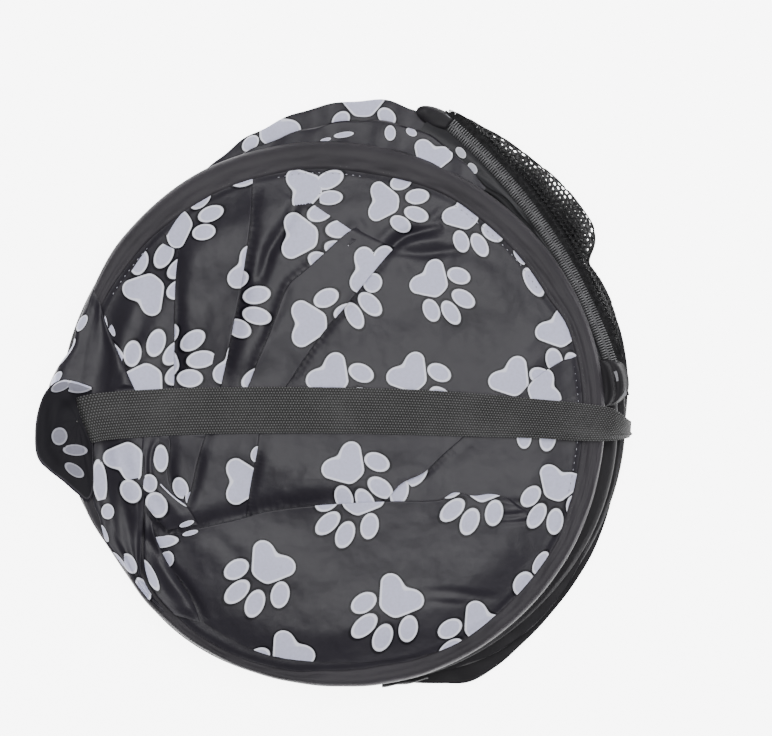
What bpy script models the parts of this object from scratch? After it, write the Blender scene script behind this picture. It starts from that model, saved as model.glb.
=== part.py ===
"""Pop-up agility tunnel for a pet, folded flat into a stack of hoops and held by an elastic strap.

Frame: the hoops' common direction is +Z and the stack lies on z = 0. Lengths below are in millimetres
and become metres as each mesh is made. The origin is under the middle of the box round the whole part.
"""
import math

import bmesh
import bpy
from mathutils import Vector

MM = 0.001

# hoops, from the floor up: each a spring wire loop in a sewn casing
HOOP_R = 150.4
CASING_W = 15.0
CASING_H = 7.4
PITCH = 8.0
SEGS = 30
CENTRES = [(9.0, -12.0), (12.8, -13.0), (8.0, -13.0), (-3.0, -11.0), (-1.0, -11.0)]
WIRE_R = 1.0
WIRE_AT = 3.2
FERRULE_IN = 1.45
FERRULE_OUT = 1.7
FERRULE_LEN = 12.0
JOINT_STEP = [3, 11, 19, 7, 24]

# walls of the four bays, folded in under one another
FOLD_DEPTH = 17.0
SHEET = 0.6
INNER_EDGE = HOOP_R - CASING_W

# circumferential zipper over the mesh window
ZIP_C = (-133.0, -79.0)
ZIP_R = 302.0
ZIP_FROM = 14.9
ZIP_TO = 50.6
ZIP_SLOT = 0.6
TAPE_W = 3.8
TAPE_Z = (28.3, 29.1)
COIL_W = 2.5
COIL_Z = (29.4, 30.6)
SLIDER_AT = 17.2
SLIDER_L = 9.6
SLIDER_W = 8.8

# elastic storage strap
STRAP_Y = -12.0
STRAP_W = 25.0
STRAP_T = 1.1
STRAP_Z = 41.7


def clear_scene():
    for old in list(bpy.data.objects):
        bpy.data.objects.remove(old, do_unlink=True)


def material(name, colour, rough, metal=0.0):
    mat = bpy.data.materials.new(name)
    mat.use_nodes = True
    shader = mat.node_tree.nodes["Principled BSDF"]
    shader.inputs["Base Color"].default_value = (*colour, 1.0)
    shader.inputs["Roughness"].default_value = rough
    shader.inputs["Metallic"].default_value = metal
    mat.diffuse_color = (*colour, 1.0)
    return mat


def add_mesh(name, verts, faces, mat):
    """Makes one closed object from millimetre vertices, with its faces turned out."""
    mesh = bpy.data.meshes.new(name)
    mesh.from_pydata([tuple(c * MM for c in v) for v in verts], [], faces)
    work = bmesh.new()
    work.from_mesh(mesh)
    bmesh.ops.recalc_face_normals(work, faces=work.faces)
    work.to_mesh(mesh)
    work.free()
    mesh.materials.append(material(name, *mat))
    obj = bpy.data.objects.new(name, mesh)
    bpy.context.collection.objects.link(obj)
    return obj


def loft(name, sections, mat, closed=False):
    """Skins a run of equal closed loops; an open run gets a cap at each end."""
    count = len(sections[0])
    verts = [p for loop in sections for p in loop]
    faces = []
    runs = len(sections) if closed else len(sections) - 1
    for i in range(runs):
        a = i * count
        b = ((i + 1) % len(sections)) * count
        for j in range(count):
            k = (j + 1) % count
            faces.append((a + j, a + k, b + k, b + j))
    if not closed:
        faces.append(tuple(range(count)))
        last = (len(sections) - 1) * count
        faces.append(tuple(range(last + count - 1, last - 1, -1)))
    return add_mesh(name, verts, faces, mat)


def polar(centre, radius, degrees, z):
    angle = math.radians(degrees)
    return (centre[0] + radius * math.cos(angle), centre[1] + radius * math.sin(angle), z)


def ring(name, centre, profile, mat):
    """Turns a (radius, z) profile once round the hoop's centre."""
    step = 360.0 / SEGS
    sections = [[polar(centre, r, i * step, z) for r, z in profile] for i in range(SEGS)]
    return loft(name, sections, mat, closed=True)


def arc(name, centre, angles, profile_at, mat):
    """Sweeps a (radius, z) profile, which may change on the way, through some angles."""
    sections = [[polar(centre, r, a, z) for r, z in profile_at(a)] for a in angles]
    return loft(name, sections, mat)


def steps(first, last, count):
    return [first + (last - first) * i / (count - 1) for i in range(count)]


def between(table, x):
    """Reads a short (x, value) table with straight lines between its rows."""
    if x <= table[0][0]:
        return table[0][1]
    for (x0, v0), (x1, v1) in zip(table, table[1:]):
        if x <= x1:
            return v0 + (v1 - v0) * (x - x0) / (x1 - x0)
    return table[-1][1]


def facet(radius, degrees):
    """Radius of the many-sided hoop at an angle between two of its corners."""
    half = 180.0 / SEGS
    off = degrees % (2 * half) - half
    return radius * math.cos(math.radians(half)) / math.cos(math.radians(off))


FABRIC = ((0.075, 0.072, 0.080), 0.62)
PRINTED = ((0.11, 0.11, 0.12), 0.50)
NET = ((0.02, 0.02, 0.02), 0.75)
STEEL = ((0.52, 0.53, 0.55), 0.35, 1.0)
NYLON = ((0.045, 0.045, 0.048), 0.40)
TAPE = ((0.035, 0.035, 0.038), 0.85)
ELASTIC = ((0.030, 0.030, 0.029), 0.80)
PLATED = ((0.06, 0.06, 0.065), 0.32, 0.9)


def casing_profile(base):
    """Two plies of fabric round the wire's channel, meeting in a slit at the inner edge."""
    mid_r = HOOP_R - CASING_W / 2
    mid_z = base + CASING_H / 2
    side = [(-7.5, 0.5), (-4.2, 3.7), (3.6, 3.7), (7.5, 1.2)]
    channel = [(5.6, 1.2), (3.2, 2.6), (0.9, 0.5)]
    loop = side + [(x, -z) for x, z in reversed(side)]
    loop += [(x, -z) for x, z in reversed(channel)] + channel
    return [(mid_r + x, mid_z + z) for x, z in loop]


def make_hoop(index):
    number = index + 1
    centre = CENTRES[index]
    base = index * PITCH
    ring(f"hoop_casing_{number}", centre, casing_profile(base), FABRIC)
    radius = HOOP_R - CASING_W / 2 + WIRE_AT
    level = base + CASING_H / 2
    start = JOINT_STEP[index] * 360.0 / SEGS
    hexagon = [(math.cos(math.radians(30 + 60 * i)), math.sin(math.radians(30 + 60 * i))) for i in range(6)]

    def section(degrees, size):
        return [polar(centre, facet(radius + size * c, degrees), degrees, level + size * s) for c, s in hexagon]

    gap = 0.15
    angles = [start + gap] + [start + 360.0 / SEGS * i for i in range(1, SEGS)] + [start + 360.0 - gap]
    loft(f"hoop_wire_{number}", [section(a, WIRE_R) for a in angles], STEEL)
    half = math.degrees(FERRULE_LEN / 2 / radius)
    tube = []
    for a in (start - half, start, start + half):
        tube.append(section(a, FERRULE_OUT) + section(a, FERRULE_IN))
    make_tube(f"wire_ferrule_{number}", tube, STEEL)


def make_tube(name, sections, mat):
    """A short pipe: each section holds its outer loop and then its inner loop."""
    count = len(sections[0]) // 2
    verts = [p for loop in sections for p in loop]
    faces = []
    for i in range(len(sections) - 1):
        a = i * 2 * count
        b = a + 2 * count
        for j in range(count):
            k = (j + 1) % count
            faces.append((a + j, a + k, b + k, b + j))
            faces.append((a + count + k, a + count + j, b + count + j, b + count + k))
    for end in (0, len(sections) - 1):
        a = end * 2 * count
        for j in range(count):
            k = (j + 1) % count
            faces.append((a + j, a + k, a + count + k, a + count + j))
    return add_mesh(name, verts, faces, mat)


def make_wall(index):
    """The cloth of one bay, folded back and forth inside the hoops."""
    (ax, ay), (bx, by) = CENTRES[index], CENTRES[index + 1]
    centre = ((ax + bx) / 2, (ay + by) / 2)
    outer = (INNER_EDGE - 0.4 - math.hypot(bx - ax, by - ay) / 2) * math.cos(math.pi / SEGS)
    inner = outer - FOLD_DEPTH
    z0 = index * PITCH + 4.4
    z1, z2, z3, z4 = (z0 + 1.65 * i for i in range(1, 5))
    h = SHEET / 2
    profile = [(outer, z0 - h), (inner, z1 - h), (inner, z1 + h), (outer - 2.6, z2), (inner, z3 - h)]
    profile += [(inner, z3 + h), (outer, z4 + h), (outer, z4 - h), (inner + 2.6, z3), (outer, z2 + h)]
    profile += [(outer, z2 - h), (inner + 2.6, z1), (outer, z0 + h)]
    ring(f"tunnel_wall_{index + 1}", centre, profile, PRINTED)


def make_bottom_sleeve():
    """The far end's closing sleeve, turned in flat under the stack."""
    outer = (INNER_EDGE - 0.5) * math.cos(math.pi / SEGS)
    profile = [(outer, 1.6), (outer, 2.5), (115.0, 3.3), (96.0, 2.6), (96.0, 1.5), (115.0, 2.2)]
    ring("end_sleeve_bottom", CENTRES[0], profile, PRINTED)


def bent_panel(name, centre, angles, inner, outer, low, high, mat, tuck):
    """A panel pushed out between two hoops: out along its top, down, and back in at the bottom."""
    def profile(a):
        r0 = inner(a)
        r1 = outer(a)
        t = SHEET + 0.2
        back = r1 - max(1.6, (r1 - r0) * tuck)
        nose = min(1.5, (r1 - r0) * 0.3)
        mid = (low + high) / 2
        skin = [(r0, high), (r1 - nose, high), (r1, mid), (r1 - nose, low), (back, low)]
        lining = [(back, low + t), (r1 - nose - 0.3, low + t), (r1 - t, mid)]
        lining += [(r1 - nose - 0.3, high - t), (r0, high - t)]
        return skin + lining
    return arc(name, centre, angles, profile, mat)


def make_bulges():
    """Wall cloth and net standing out past the hoops on the open side of the stack."""
    net_out = [(18.8, 8.6), (21.0, 9.8), (23.6, 12.6), (27.5, 12.4), (29.1, 11.2), (30.5, 20.0), (33.1, 24.0)]
    net_out += [(37.5, 21.6), (44.7, 13.4), (48.7, 8.4), (50.2, 6.8)]
    angles = [18.8, 21.0, 23.6, 26.0, 27.8, 29.1, 30.5, 33.1, 37.5, 41.0, 44.7, 47.5, 50.2]
    bent_panel("mesh_window", ZIP_C, angles, lambda a: ZIP_R + 4.9, lambda a: ZIP_R + between(net_out, a) + 0.6,
               18.0, 29.3, NET, 0.1)
    fold_out = [(71.0, 23.5), (76.0, 26.0), (81.0, 27.1), (90.0, 24.0), (98.0, 19.4), (108.0, 12.2), (123.0, 4.5)]
    bent_panel("wall_fold_outer", (-1.0, -11.0), [71.0, 76.0, 81.0, 87.0, 94.0, 101.0, 108.0, 116.0, 123.0],
               lambda a: 152.4, lambda a: 150.0 + between(fold_out, a), 17.5, 26.8, PRINTED, 0.5)
    fold_in = [(64.0, 8.0), (72.0, 13.5), (82.0, 16.0), (92.0, 12.5), (104.0, 4.5)]
    bent_panel("wall_fold_inner", (-1.0, -11.0), [64.0, 68.0, 72.0, 77.0, 82.0, 87.0, 92.0, 98.0, 104.0],
               lambda a: 151.2, lambda a: 150.0 + between(fold_in, a), 30.0, 35.6, PRINTED, 0.4)


def make_zipper():
    angles = steps(ZIP_FROM, ZIP_TO, 13)
    inner = ZIP_R - ZIP_SLOT - TAPE_W
    outer = ZIP_R + ZIP_SLOT

    def bar(r0, r1, z):
        return lambda a: [(r0, z[0]), (r1, z[0]), (r1, z[1]), (r0, z[1])]

    arc("zipper_tape_inner", ZIP_C, angles, bar(inner, inner + TAPE_W, TAPE_Z), TAPE)
    arc("zipper_tape_outer", ZIP_C, angles, bar(outer, outer + TAPE_W, TAPE_Z), TAPE)
    run = steps(ZIP_FROM + 1.0, ZIP_TO - 1.2, 13)
    arc("zipper_coil_inner", ZIP_C, run, bar(ZIP_R - ZIP_SLOT - COIL_W, ZIP_R - ZIP_SLOT, COIL_Z), NYLON)
    arc("zipper_coil_outer", ZIP_C, run, bar(ZIP_R + ZIP_SLOT, ZIP_R + ZIP_SLOT + COIL_W, COIL_Z), NYLON)
    stop = bar(ZIP_R - 2.8, ZIP_R + 2.8, (29.4, 31.0))
    arc("zipper_stop_lower", ZIP_C, [ZIP_FROM + 0.15, ZIP_FROM + 0.7], stop, PLATED)
    arc("zipper_stop_upper", ZIP_C, [ZIP_TO - 0.9, ZIP_TO - 0.3], stop, PLATED)
    make_facing(inner - 0.3)


def make_facing(edge):
    """Plain cloth from the fourth hoop's outer edge to the zipper, a crescent seen from above."""
    cx, cy = CENTRES[3]
    dist = math.hypot(cx - ZIP_C[0], cy - ZIP_C[1])
    toward = math.degrees(math.atan2(cy - ZIP_C[1], cx - ZIP_C[0]))

    def profile(a):
        turn = math.radians(a - toward)
        reach = dist * math.cos(turn) + math.sqrt((HOOP_R + 0.6) ** 2 - (dist * math.sin(turn)) ** 2)
        return [(reach, TAPE_Z[0]), (edge, TAPE_Z[0]), (edge, TAPE_Z[1]), (reach, TAPE_Z[1])]

    arc("zipper_facing", ZIP_C, steps(36.0, 50.0, 7), profile, FABRIC)


def along(degrees, radial, forward, z):
    """A point by the zipper: out from its line, forward along it, and up."""
    angle = math.radians(degrees)
    x = ZIP_C[0] + (ZIP_R + radial) * math.cos(angle) - forward * math.sin(angle)
    y = ZIP_C[1] + (ZIP_R + radial) * math.sin(angle) + forward * math.cos(angle)
    return (x, y, z)


def extruded(name, loop, low, high, place, mat):
    """Extrudes a flat loop between two values of the coordinate that place() takes last."""
    return loft(name, [[place(p, low) for p in loop], [place(p, high) for p in loop]], mat)


def make_slider():
    """Two plates on a thin web that runs in the zipper's slot, with a bridge for the pull."""
    half = SLIDER_W / 2
    beam = [(-half, 26.9), (half, 26.9), (half, 27.8), (0.25, 27.8), (0.25, 30.9), (half, 30.9)]
    beam += [(half, 31.6), (-half, 31.6), (-half, 30.9), (-0.25, 30.9), (-0.25, 27.8), (-half, 27.8)]
    body = extruded("zipper_slider", beam, -SLIDER_L / 2, SLIDER_L / 2,
                    lambda p, t: along(SLIDER_AT, p[0], t, p[1]), PLATED)
    arch = [(-3.6, 31.2), (-2.4, 31.2), (-2.4, 33.7), (2.4, 33.7), (2.4, 31.2), (3.6, 31.2), (3.6, 33.9)]
    arch += [(2.8, 34.7), (-2.8, 34.7), (-3.6, 33.9)]
    bridge = extruded("bridge_cutter", arch, -1.1, 1.1, lambda p, r: along(SLIDER_AT, r, p[0], p[1]), PLATED)
    bridge.hide_render = True
    bridge.display_type = "WIRE"
    join = body.modifiers.new("bridge", "BOOLEAN")
    join.operation = "UNION"
    join.solver = "EXACT"
    join.object = bridge
    return body


def make_pull():
    """A flat tab with an eye whose bar passes under the slider's bridge."""
    low, high = 32.15, 33.15
    half = 2.9
    arm = 1.2
    tip = -12.0
    shoulder = -5.0
    outer = [(-half, 0.5), (half, 0.5), (half, tip + 1.0), (half - 1.0, tip), (-half + 1.0, tip), (-half, tip + 1.0)]
    eye = [(-half + arm, -0.5), (half - arm, -0.5), (half - arm, shoulder), (-half + arm, shoulder)]
    verts = [along(SLIDER_AT, r, t, z) for z in (low, high) for r, t in outer + eye]
    faces = []
    for j in range(6):
        k = (j + 1) % 6
        faces.append((j, k, 10 + k, 10 + j))
    for j in range(4):
        k = (j + 1) % 4
        faces.append((6 + k, 6 + j, 16 + j, 16 + k))
    for base in (0, 10):
        cap = [(0, 1, 7, 6), (1, 2, 8, 7), (2, 3, 4, 5, 9, 8), (5, 0, 6, 9)]
        faces += [tuple(base + v for v in face) for face in cap]
    return add_mesh("zipper_pull", verts, faces, PLATED)


def sheet_solid(name, verts, faces, thick, mat):
    """Gives a height field its thickness straight down, with a wall along every free edge."""
    count = len(verts)
    lower = [(x, y, z - thick) for x, y, z in verts]
    used = {}
    for face in faces:
        for i, a in enumerate(face):
            b = face[(i + 1) % len(face)]
            used[(a, b)] = True
    sides = [(b, a, a + count, b + count) for a, b in used if (b, a) not in used]
    under = [tuple(v + count for v in reversed(face)) for face in faces]
    return add_mesh(name, verts + lower, faces + under + sides, mat)


def make_top_sleeve():
    """The near end's sleeve, gathered to one side across the top hoop and over its left arc."""
    centre = CENTRES[4]
    rings = [(45.0, 37.6), (90.0, 37.7), (120.0, 37.9), (132.0, 38.6)]
    collar = [(137.0, 40.3), (142.5, 40.8), (148.5, 40.5), (152.2, 38.9)]
    verts = [(centre[0], centre[1], 37.6)]
    step = 360.0 / SEGS
    for radius, z in rings:
        for i in range(SEGS):
            turn = abs((i * step - 180.0 + 180.0) % 360.0 - 180.0)
            pleat = 0.55 if i % 2 and radius > 50 else 0.0
            lift = pleat * (1.0 - min(turn, 180.0) / 260.0)
            verts.append(polar(centre, radius, i * step, z + lift))
    faces = [(0, 1 + i, 1 + (i + 1) % SEGS) for i in range(SEGS)]
    for level in range(len(rings) - 1):
        a = 1 + level * SEGS
        b = a + SEGS
        for i in range(SEGS):
            k = (i + 1) % SEGS
            faces.append((a + i, b + i, b + k, a + k))
    rim = 1 + (len(rings) - 1) * SEGS
    first, last = 12, 19
    previous = [rim + i for i in range(first, last + 1)]
    for radius, z in collar:
        row = []
        for i in range(first, last + 1):
            row.append(len(verts))
            verts.append(polar(centre, radius, i * step, z))
        for i in range(len(row) - 1):
            faces.append((previous[i], row[i], row[i + 1], previous[i + 1]))
        previous = row
    sheet_solid("end_sleeve_top", verts, faces, 0.9, PRINTED)


def make_sleeve_mouth():
    """The sleeve's gathered end: a limp cup that hangs beside the stack, open at the top."""
    outer = [(-154.2, 9.0), (-157.8, 6.5), (-161.8, 0.0), (-164.6, -13.0), (-165.05, -29.0), (-161.8, -38.5)]
    outer += [(-154.0, -44.5), (-154.2, -34.0), (-154.2, -20.0), (-154.2, -6.0)]
    inner = [(-155.2, 6.6), (-157.3, 5.1), (-160.8, -0.4), (-163.3, -13.2), (-163.5, -28.8), (-160.9, -37.8)]
    inner += [(-155.1, -42.2), (-155.2, -34.0), (-155.2, -20.0), (-155.2, -6.0)]
    rim = [38.6, 39.0, 39.4, 39.6, 39.0, 38.2, 37.6, 37.4, 37.4, 37.6]
    n = len(outer)
    verts = []
    for loop, heights in ((outer, [9.0] * n), (outer, rim), (inner, rim), (inner, [11.0] * n)):
        verts += [(x, y, z) for (x, y), z in zip(loop, heights)]
    faces = [tuple(range(n - 1, -1, -1)), tuple(range(3 * n, 4 * n))]
    for level in range(3):
        for j in range(n):
            k = (j + 1) % n
            a = level * n
            faces.append((a + j, a + k, a + n + k, a + n + j))
    add_mesh("sleeve_mouth", verts, faces, PRINTED)


def ribbon(name, path, mat):
    """A flat band: each station is (x, z, centre y, width, tilt of its thickness in degrees)."""
    sections = []
    for x, z, y, width, tilt in path:
        dx = STRAP_T / 2 * math.sin(math.radians(tilt))
        dz = STRAP_T / 2 * math.cos(math.radians(tilt))
        h = width / 2
        sections.append([(x - dx, y - h, z - dz), (x - dx, y + h, z - dz), (x + dx, y + h, z + dz),
                         (x + dx, y - h, z + dz)])
    return loft(name, sections, mat)


def make_strap():
    band = [(149.0, STRAP_Z, -14.0, 21.0, 0), (110.0, STRAP_Z, -12.0, 24.0, 0), (40.0, STRAP_Z, -10.0, STRAP_W, 0)]
    band += [(-40.0, STRAP_Z, -9.6, STRAP_W, 0), (-136.0, STRAP_Z, -12.2, STRAP_W, 0)]
    band += [(-152.6, STRAP_Z - 0.2, -12.6, 23.0, -12), (-156.6, 39.4, -12.8, 22.0, -52)]
    band += [(-158.0, 34.0, -12.8, 21.0, -80), (-158.4, 24.0, -12.8, 20.0, -90)]
    ribbon("elastic_strap", band, ELASTIC)
    tab = [(150.9, 40.5, -14.2, 20.5, 48), (153.2, 37.2, -14.5, 19.5, 60), (160.6, 24.5, -14.8, 18.5, 62)]
    tab += [(164.4, 17.0, -15.0, 17.5, 82), (164.5, 9.0, -15.0, 17.0, 90)]
    ribbon("strap_anchor", tab, ELASTIC)


def make_binding_tail():
    """The loose end of the second hoop's binding."""
    profile = [(151.0, 9.0), (151.9, 9.0), (151.9, 14.6), (151.0, 14.6)]
    arc("binding_tail", CENTRES[1], [-83.5, -80.0, -76.5], lambda a: profile, FABRIC)


def main():
    clear_scene()
    for index in range(len(CENTRES)):
        make_hoop(index)
    for index in range(len(CENTRES) - 1):
        make_wall(index)
    make_bottom_sleeve()
    make_top_sleeve()
    make_sleeve_mouth()
    make_bulges()
    make_zipper()
    make_slider()
    make_pull()
    make_strap()
    make_binding_tail()


main()
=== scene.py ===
"""Looks of the folded agility tunnel. All lengths are in millimetres until a mesh is made."""

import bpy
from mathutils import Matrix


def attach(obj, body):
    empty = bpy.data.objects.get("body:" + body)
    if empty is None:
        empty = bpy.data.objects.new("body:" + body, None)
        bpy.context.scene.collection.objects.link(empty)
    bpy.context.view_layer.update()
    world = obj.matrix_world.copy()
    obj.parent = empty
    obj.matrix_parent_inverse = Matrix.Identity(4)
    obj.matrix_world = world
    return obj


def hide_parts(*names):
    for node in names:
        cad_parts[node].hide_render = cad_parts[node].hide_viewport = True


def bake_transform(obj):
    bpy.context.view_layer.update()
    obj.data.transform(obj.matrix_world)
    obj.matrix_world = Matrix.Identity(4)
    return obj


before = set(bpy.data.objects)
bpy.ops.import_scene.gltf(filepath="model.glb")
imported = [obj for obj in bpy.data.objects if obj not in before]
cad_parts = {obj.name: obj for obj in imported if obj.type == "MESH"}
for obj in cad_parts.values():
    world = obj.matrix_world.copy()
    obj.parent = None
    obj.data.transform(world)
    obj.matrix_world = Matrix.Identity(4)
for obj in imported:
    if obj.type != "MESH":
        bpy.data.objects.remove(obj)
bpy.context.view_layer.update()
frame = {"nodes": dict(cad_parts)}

import math

import bpy
import numpy as np
from mathutils import Vector

MM = 0.001
CIRCLE = 2 * math.pi

# The folded stack. PITCH is the height from one hoop to the next, and MID is the bottom hoop's own.
HOOP_R = 149.8
HOOP_GIRTH = 940.0
CASING_WIDTH = 15.0
WIRE_R = 1.0
PITCH = 8.0
MID = 3.7
CENTRES = [(9.0, -12.0), (12.8, -13.0), (8.0, -13.0), (-3.0, -11.0), (-1.0, -11.0)]
BODIES = ["bottom_hoop", "hoop_2", "hoop_3", "hoop_4", "top_hoop"]
TOP = np.array(CENTRES[4])

# The zipper runs on a circle: its centre, its radius, and the radius that the slider sweeps out to.
ZIP_C = np.array((-133.0, -79.0))
ZIP_R = 302.0
SLIDER_REACH = ZIP_R + 6.4
TAPE_Z = 28.9


# ---------------------------------------------------------------- small tools

def smooth(t):
    """Eases from 0 to 1 as t does, and stays there beyond."""
    t = np.clip(t, 0.0, 1.0)
    return t * t * (3 - 2 * t)


def ripple(x, y, size, turn):
    """An irregular smooth height of about -1 to 1 whose bumps are about size across."""
    parts = 5
    total = 0.0
    for k in range(parts):
        a = turn + 2.4 * k
        f = CIRCLE / size * (0.7 + 0.19 * k)
        along = x * math.cos(a) + y * math.sin(a)
        side = y * math.cos(a) - x * math.sin(a)
        total = total + np.sin(f * along + 2.3 * k + 1.4 * np.sin(0.41 * f * side + k))
    return total / parts


def curve(points, count):
    """A smooth line through some points, with its points evenly spaced."""
    p = np.array(points, float)
    p = np.vstack([2 * p[0] - p[1], p, 2 * p[-1] - p[-2]])
    line = []
    for i in range(1, len(p) - 2):
        t = np.linspace(0, 1, 24, endpoint=i == len(p) - 3)[:, None]
        a, b, c, d = p[i - 1], p[i], p[i + 1], p[i + 2]
        line.append(0.5 * (2 * b + (c - a) * t + (2 * a - 5 * b + 4 * c - d) * t ** 2
                           + (3 * b - a - 3 * c + d) * t ** 3))
    line = np.vstack(line)
    walked = np.concatenate([[0], np.cumsum(np.linalg.norm(np.diff(line, axis=0), axis=1))])
    want = np.linspace(0, walked[-1], count)
    return np.stack([np.interp(want, walked, line[:, k]) for k in range(p.shape[1])], axis=1)


def around(count):
    """Evenly spaced angles of a whole turn."""
    return np.linspace(0, CIRCLE, count, endpoint=False)


def polar(centre, radius, angle, z):
    """Points at a radius and an angle round a centre."""
    x = centre[0] + radius * np.cos(angle)
    y = centre[1] + radius * np.sin(angle)
    return np.stack(np.broadcast_arrays(x, y, z), axis=-1)


def hoop_z(index):
    """Height of the middle of a hoop's wire."""
    return index * PITCH + MID


def pass_level(u):
    """Share of the height at each place along cloth that runs from the bottom of a fold to its top."""
    return 0.5 - np.sin(np.arcsin(1 - 2 * u) / 3)


def mesh_object(name, points, faces, mat, uvs=None, smooth_shade=True):
    """uvs maps a UV layer's name to one (u, v) per face corner."""
    mesh = bpy.data.meshes.new(name)
    mesh.from_pydata((np.asarray(points) * MM).tolist(), [], [tuple(f) for f in faces])
    if smooth_shade:
        mesh.polygons.foreach_set("use_smooth", [True] * len(mesh.polygons))
    for layer, values in (uvs or {}).items():
        mesh.uv_layers.new(name=layer).data.foreach_set("uv", np.asarray(values, np.float32).ravel())
    mesh.materials.append(mat)
    obj = bpy.data.objects.new(name, mesh)
    bpy.context.scene.collection.objects.link(obj)
    return obj


def cells(rows, cols, wrap_rows, wrap_cols):
    """Row and column of each cell of a grid."""
    i = np.arange(rows if wrap_rows else rows - 1)
    j = np.arange(cols if wrap_cols else cols - 1)
    return np.meshgrid(i, j, indexing="ij")


def grid_faces(rows, cols, wrap_rows=False, wrap_cols=False, start=0):
    """The cells of a grid whose points are numbered row by row from start."""
    i, j = cells(rows, cols, wrap_rows, wrap_cols)
    i2, j2 = (i + 1) % rows, (j + 1) % cols
    quad = np.stack([i * cols + j, i * cols + j2, i2 * cols + j2, i2 * cols + j], axis=-1)
    return quad.reshape(-1, 4) + start


def grid_object(name, grid, mat, uvs=None, wrap_rows=False, wrap_cols=False):
    faces = grid_faces(*grid.shape[:2], wrap_rows, wrap_cols)
    return mesh_object(name, grid.reshape(-1, 3), faces, mat, uvs)


def describe(obj, body, slot, *nodes, **cut):
    """Parents a piece to the body that it rides on and hides the CAD nodes that it stands for. Its slot and
    its cut are not used.
    """
    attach(obj, body)
    if nodes:
        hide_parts(*nodes)


def cloth_uv(rows, cols, u, v, wrap_rows=False, wrap_cols=False):
    """Corner values of a grid's cloth coordinates; u has one value per row and v one per column, in mm."""
    i, j = cells(rows, cols, wrap_rows, wrap_cols)
    u, v = np.asarray(u, float), np.asarray(v, float)
    ends = [(i, j), (i, j + 1), (i + 1, j + 1), (i + 1, j)]
    return np.stack([np.stack([u[a], v[b]], axis=-1) for a, b in ends], axis=2).reshape(-1, 2) * 0.01


def strip_uv(grid, length, width, wrap_rows=False):
    """Cloth coordinates of an even strip that runs along the grid's rows."""
    rows, cols = grid.shape[:2]
    u = np.linspace(0, length, rows + 1 if wrap_rows else rows)
    return cloth_uv(rows, cols, u, np.linspace(0, width, cols), wrap_rows)


def flat_uvs(grid, marks=None, wrap_rows=False):
    """UV layers of cloth seen from above: its weave, and its print if it has marks."""
    faces = grid_faces(*grid.shape[:2], wrap_rows)
    xy = grid.reshape(-1, 3)[:, :2]
    uvs = {"cloth": (xy * 0.01)[faces].reshape(-1, 2)}
    if marks is not None:
        uvs["print"] = paw_uv(xy, faces, marks)
    return uvs


# ---------------------------------------------------------------- the printed paws

# A mark is (x, y, direction of the toes in degrees, width, length, kind). The sizes scale the drawn
# shape. The kinds are drawn APART from each other in the print's own plane. Each has a rough radius,
# and its middle lies some way ahead of its own point. A face further than MARK_SEARCH outside the nearest
# mark's radius takes the place NO_PRINT, where nothing is drawn.
PAW, TOE, HEART = 0, 1, 2
APART = 300.0
KIND_PLACE = np.array([(0.0, 0.0), (0.0, APART), (APART, 0.0)])
KIND_REACH = np.array([21.0, 7.0, 11.0])
KIND_MIDDLE = np.array([9.0, 0.0, 0.0])
TOE_LONG, TOE_WIDE = 8.5, 5.0
MARK_SEARCH = 9.0
NO_PRINT = 90.0


def paw(x, y, turn, size=1.0):
    return (x, y, turn, size, size, PAW)


def toe(x, y, turn, long, wide):
    return (x, y, turn, wide / TOE_WIDE, long / TOE_LONG, TOE)


def heart(x, y, turn, size=1.0):
    return (x, y, turn, size, size, HEART)


def paw_uv(places, faces, marks):
    """For each face, its corners' places in the frame of the nearest mark, in millimetres / 100."""
    if not len(marks):
        return np.full((len(faces) * 4, 2), NO_PRINT * 0.01)
    marks = np.array(marks, float)
    kind = marks[:, 5].astype(int)
    turn = np.radians(marks[:, 2])
    ahead = np.stack([np.cos(turn), np.sin(turn)], axis=1)
    middle = marks[:, :2] + (KIND_MIDDLE[kind] * marks[:, 4])[:, None] * ahead
    corners = places[faces]
    centre = corners.mean(axis=1)
    far = np.linalg.norm(centre[:, None] - middle[None], axis=2)
    far = far - KIND_REACH[kind] * marks[:, 3:5].mean(axis=1)
    pick = far.argmin(axis=1)
    rel = corners - marks[pick, None, :2]
    t = ahead[pick][:, None]
    v = (rel * t).sum(axis=2) / marks[pick, 4][:, None]
    u = (rel[..., 0] * t[..., 1] - rel[..., 1] * t[..., 0]) / marks[pick, 3][:, None]
    out = np.stack([u, v], axis=2) + KIND_PLACE[kind[pick]][:, None]
    out[far.min(axis=1) > MARK_SEARCH] = NO_PRINT
    return out.reshape(-1, 2) * 0.01


def lattice(x0, x1, y0, y1):
    """The print's own repeat: staggered rows whose paws turn this way and that."""
    across, apart = 58.0, 50.0
    turns = (234, 315, 350, 50, 110)
    marks = []
    for r, y in enumerate(np.arange(y0, y1, apart)):
        for c, x in enumerate(np.arange(x0 + (r % 2) * across / 2, x1, across)):
            marks.append(paw(x, y, turns[(3 * r + 2 * c) % 5], 0.95))
    return marks


# ---------------------------------------------------------------- materials

# Threads of the printed and plain cloth in a tenth of a metre.
WEAVE = 380.0

# The paw as it is drawn. Each toe is (across, along, half its length, half its width, lean in degrees).
TOES = [(12.9, 13.8, 7.2, 4.9, 22), (5.6, 23.4, 8.2, 4.7, 12), (-5.8, 22.9, 7.8, 4.9, -12),
        (-13.9, 11.2, 7.2, 4.9, -24), (0.0, APART, TOE_LONG, TOE_WIDE, 0)]
# The pad is a lobe on each side that narrows from its round back to its blunt front.
PAD_BACK, PAD_FRONT = (8.1, -2.7), (3.4, 6.8)
PAD_R, PAD_TAPER = 5.3, 0.7
PAD_CLEFT = 4.0


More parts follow.
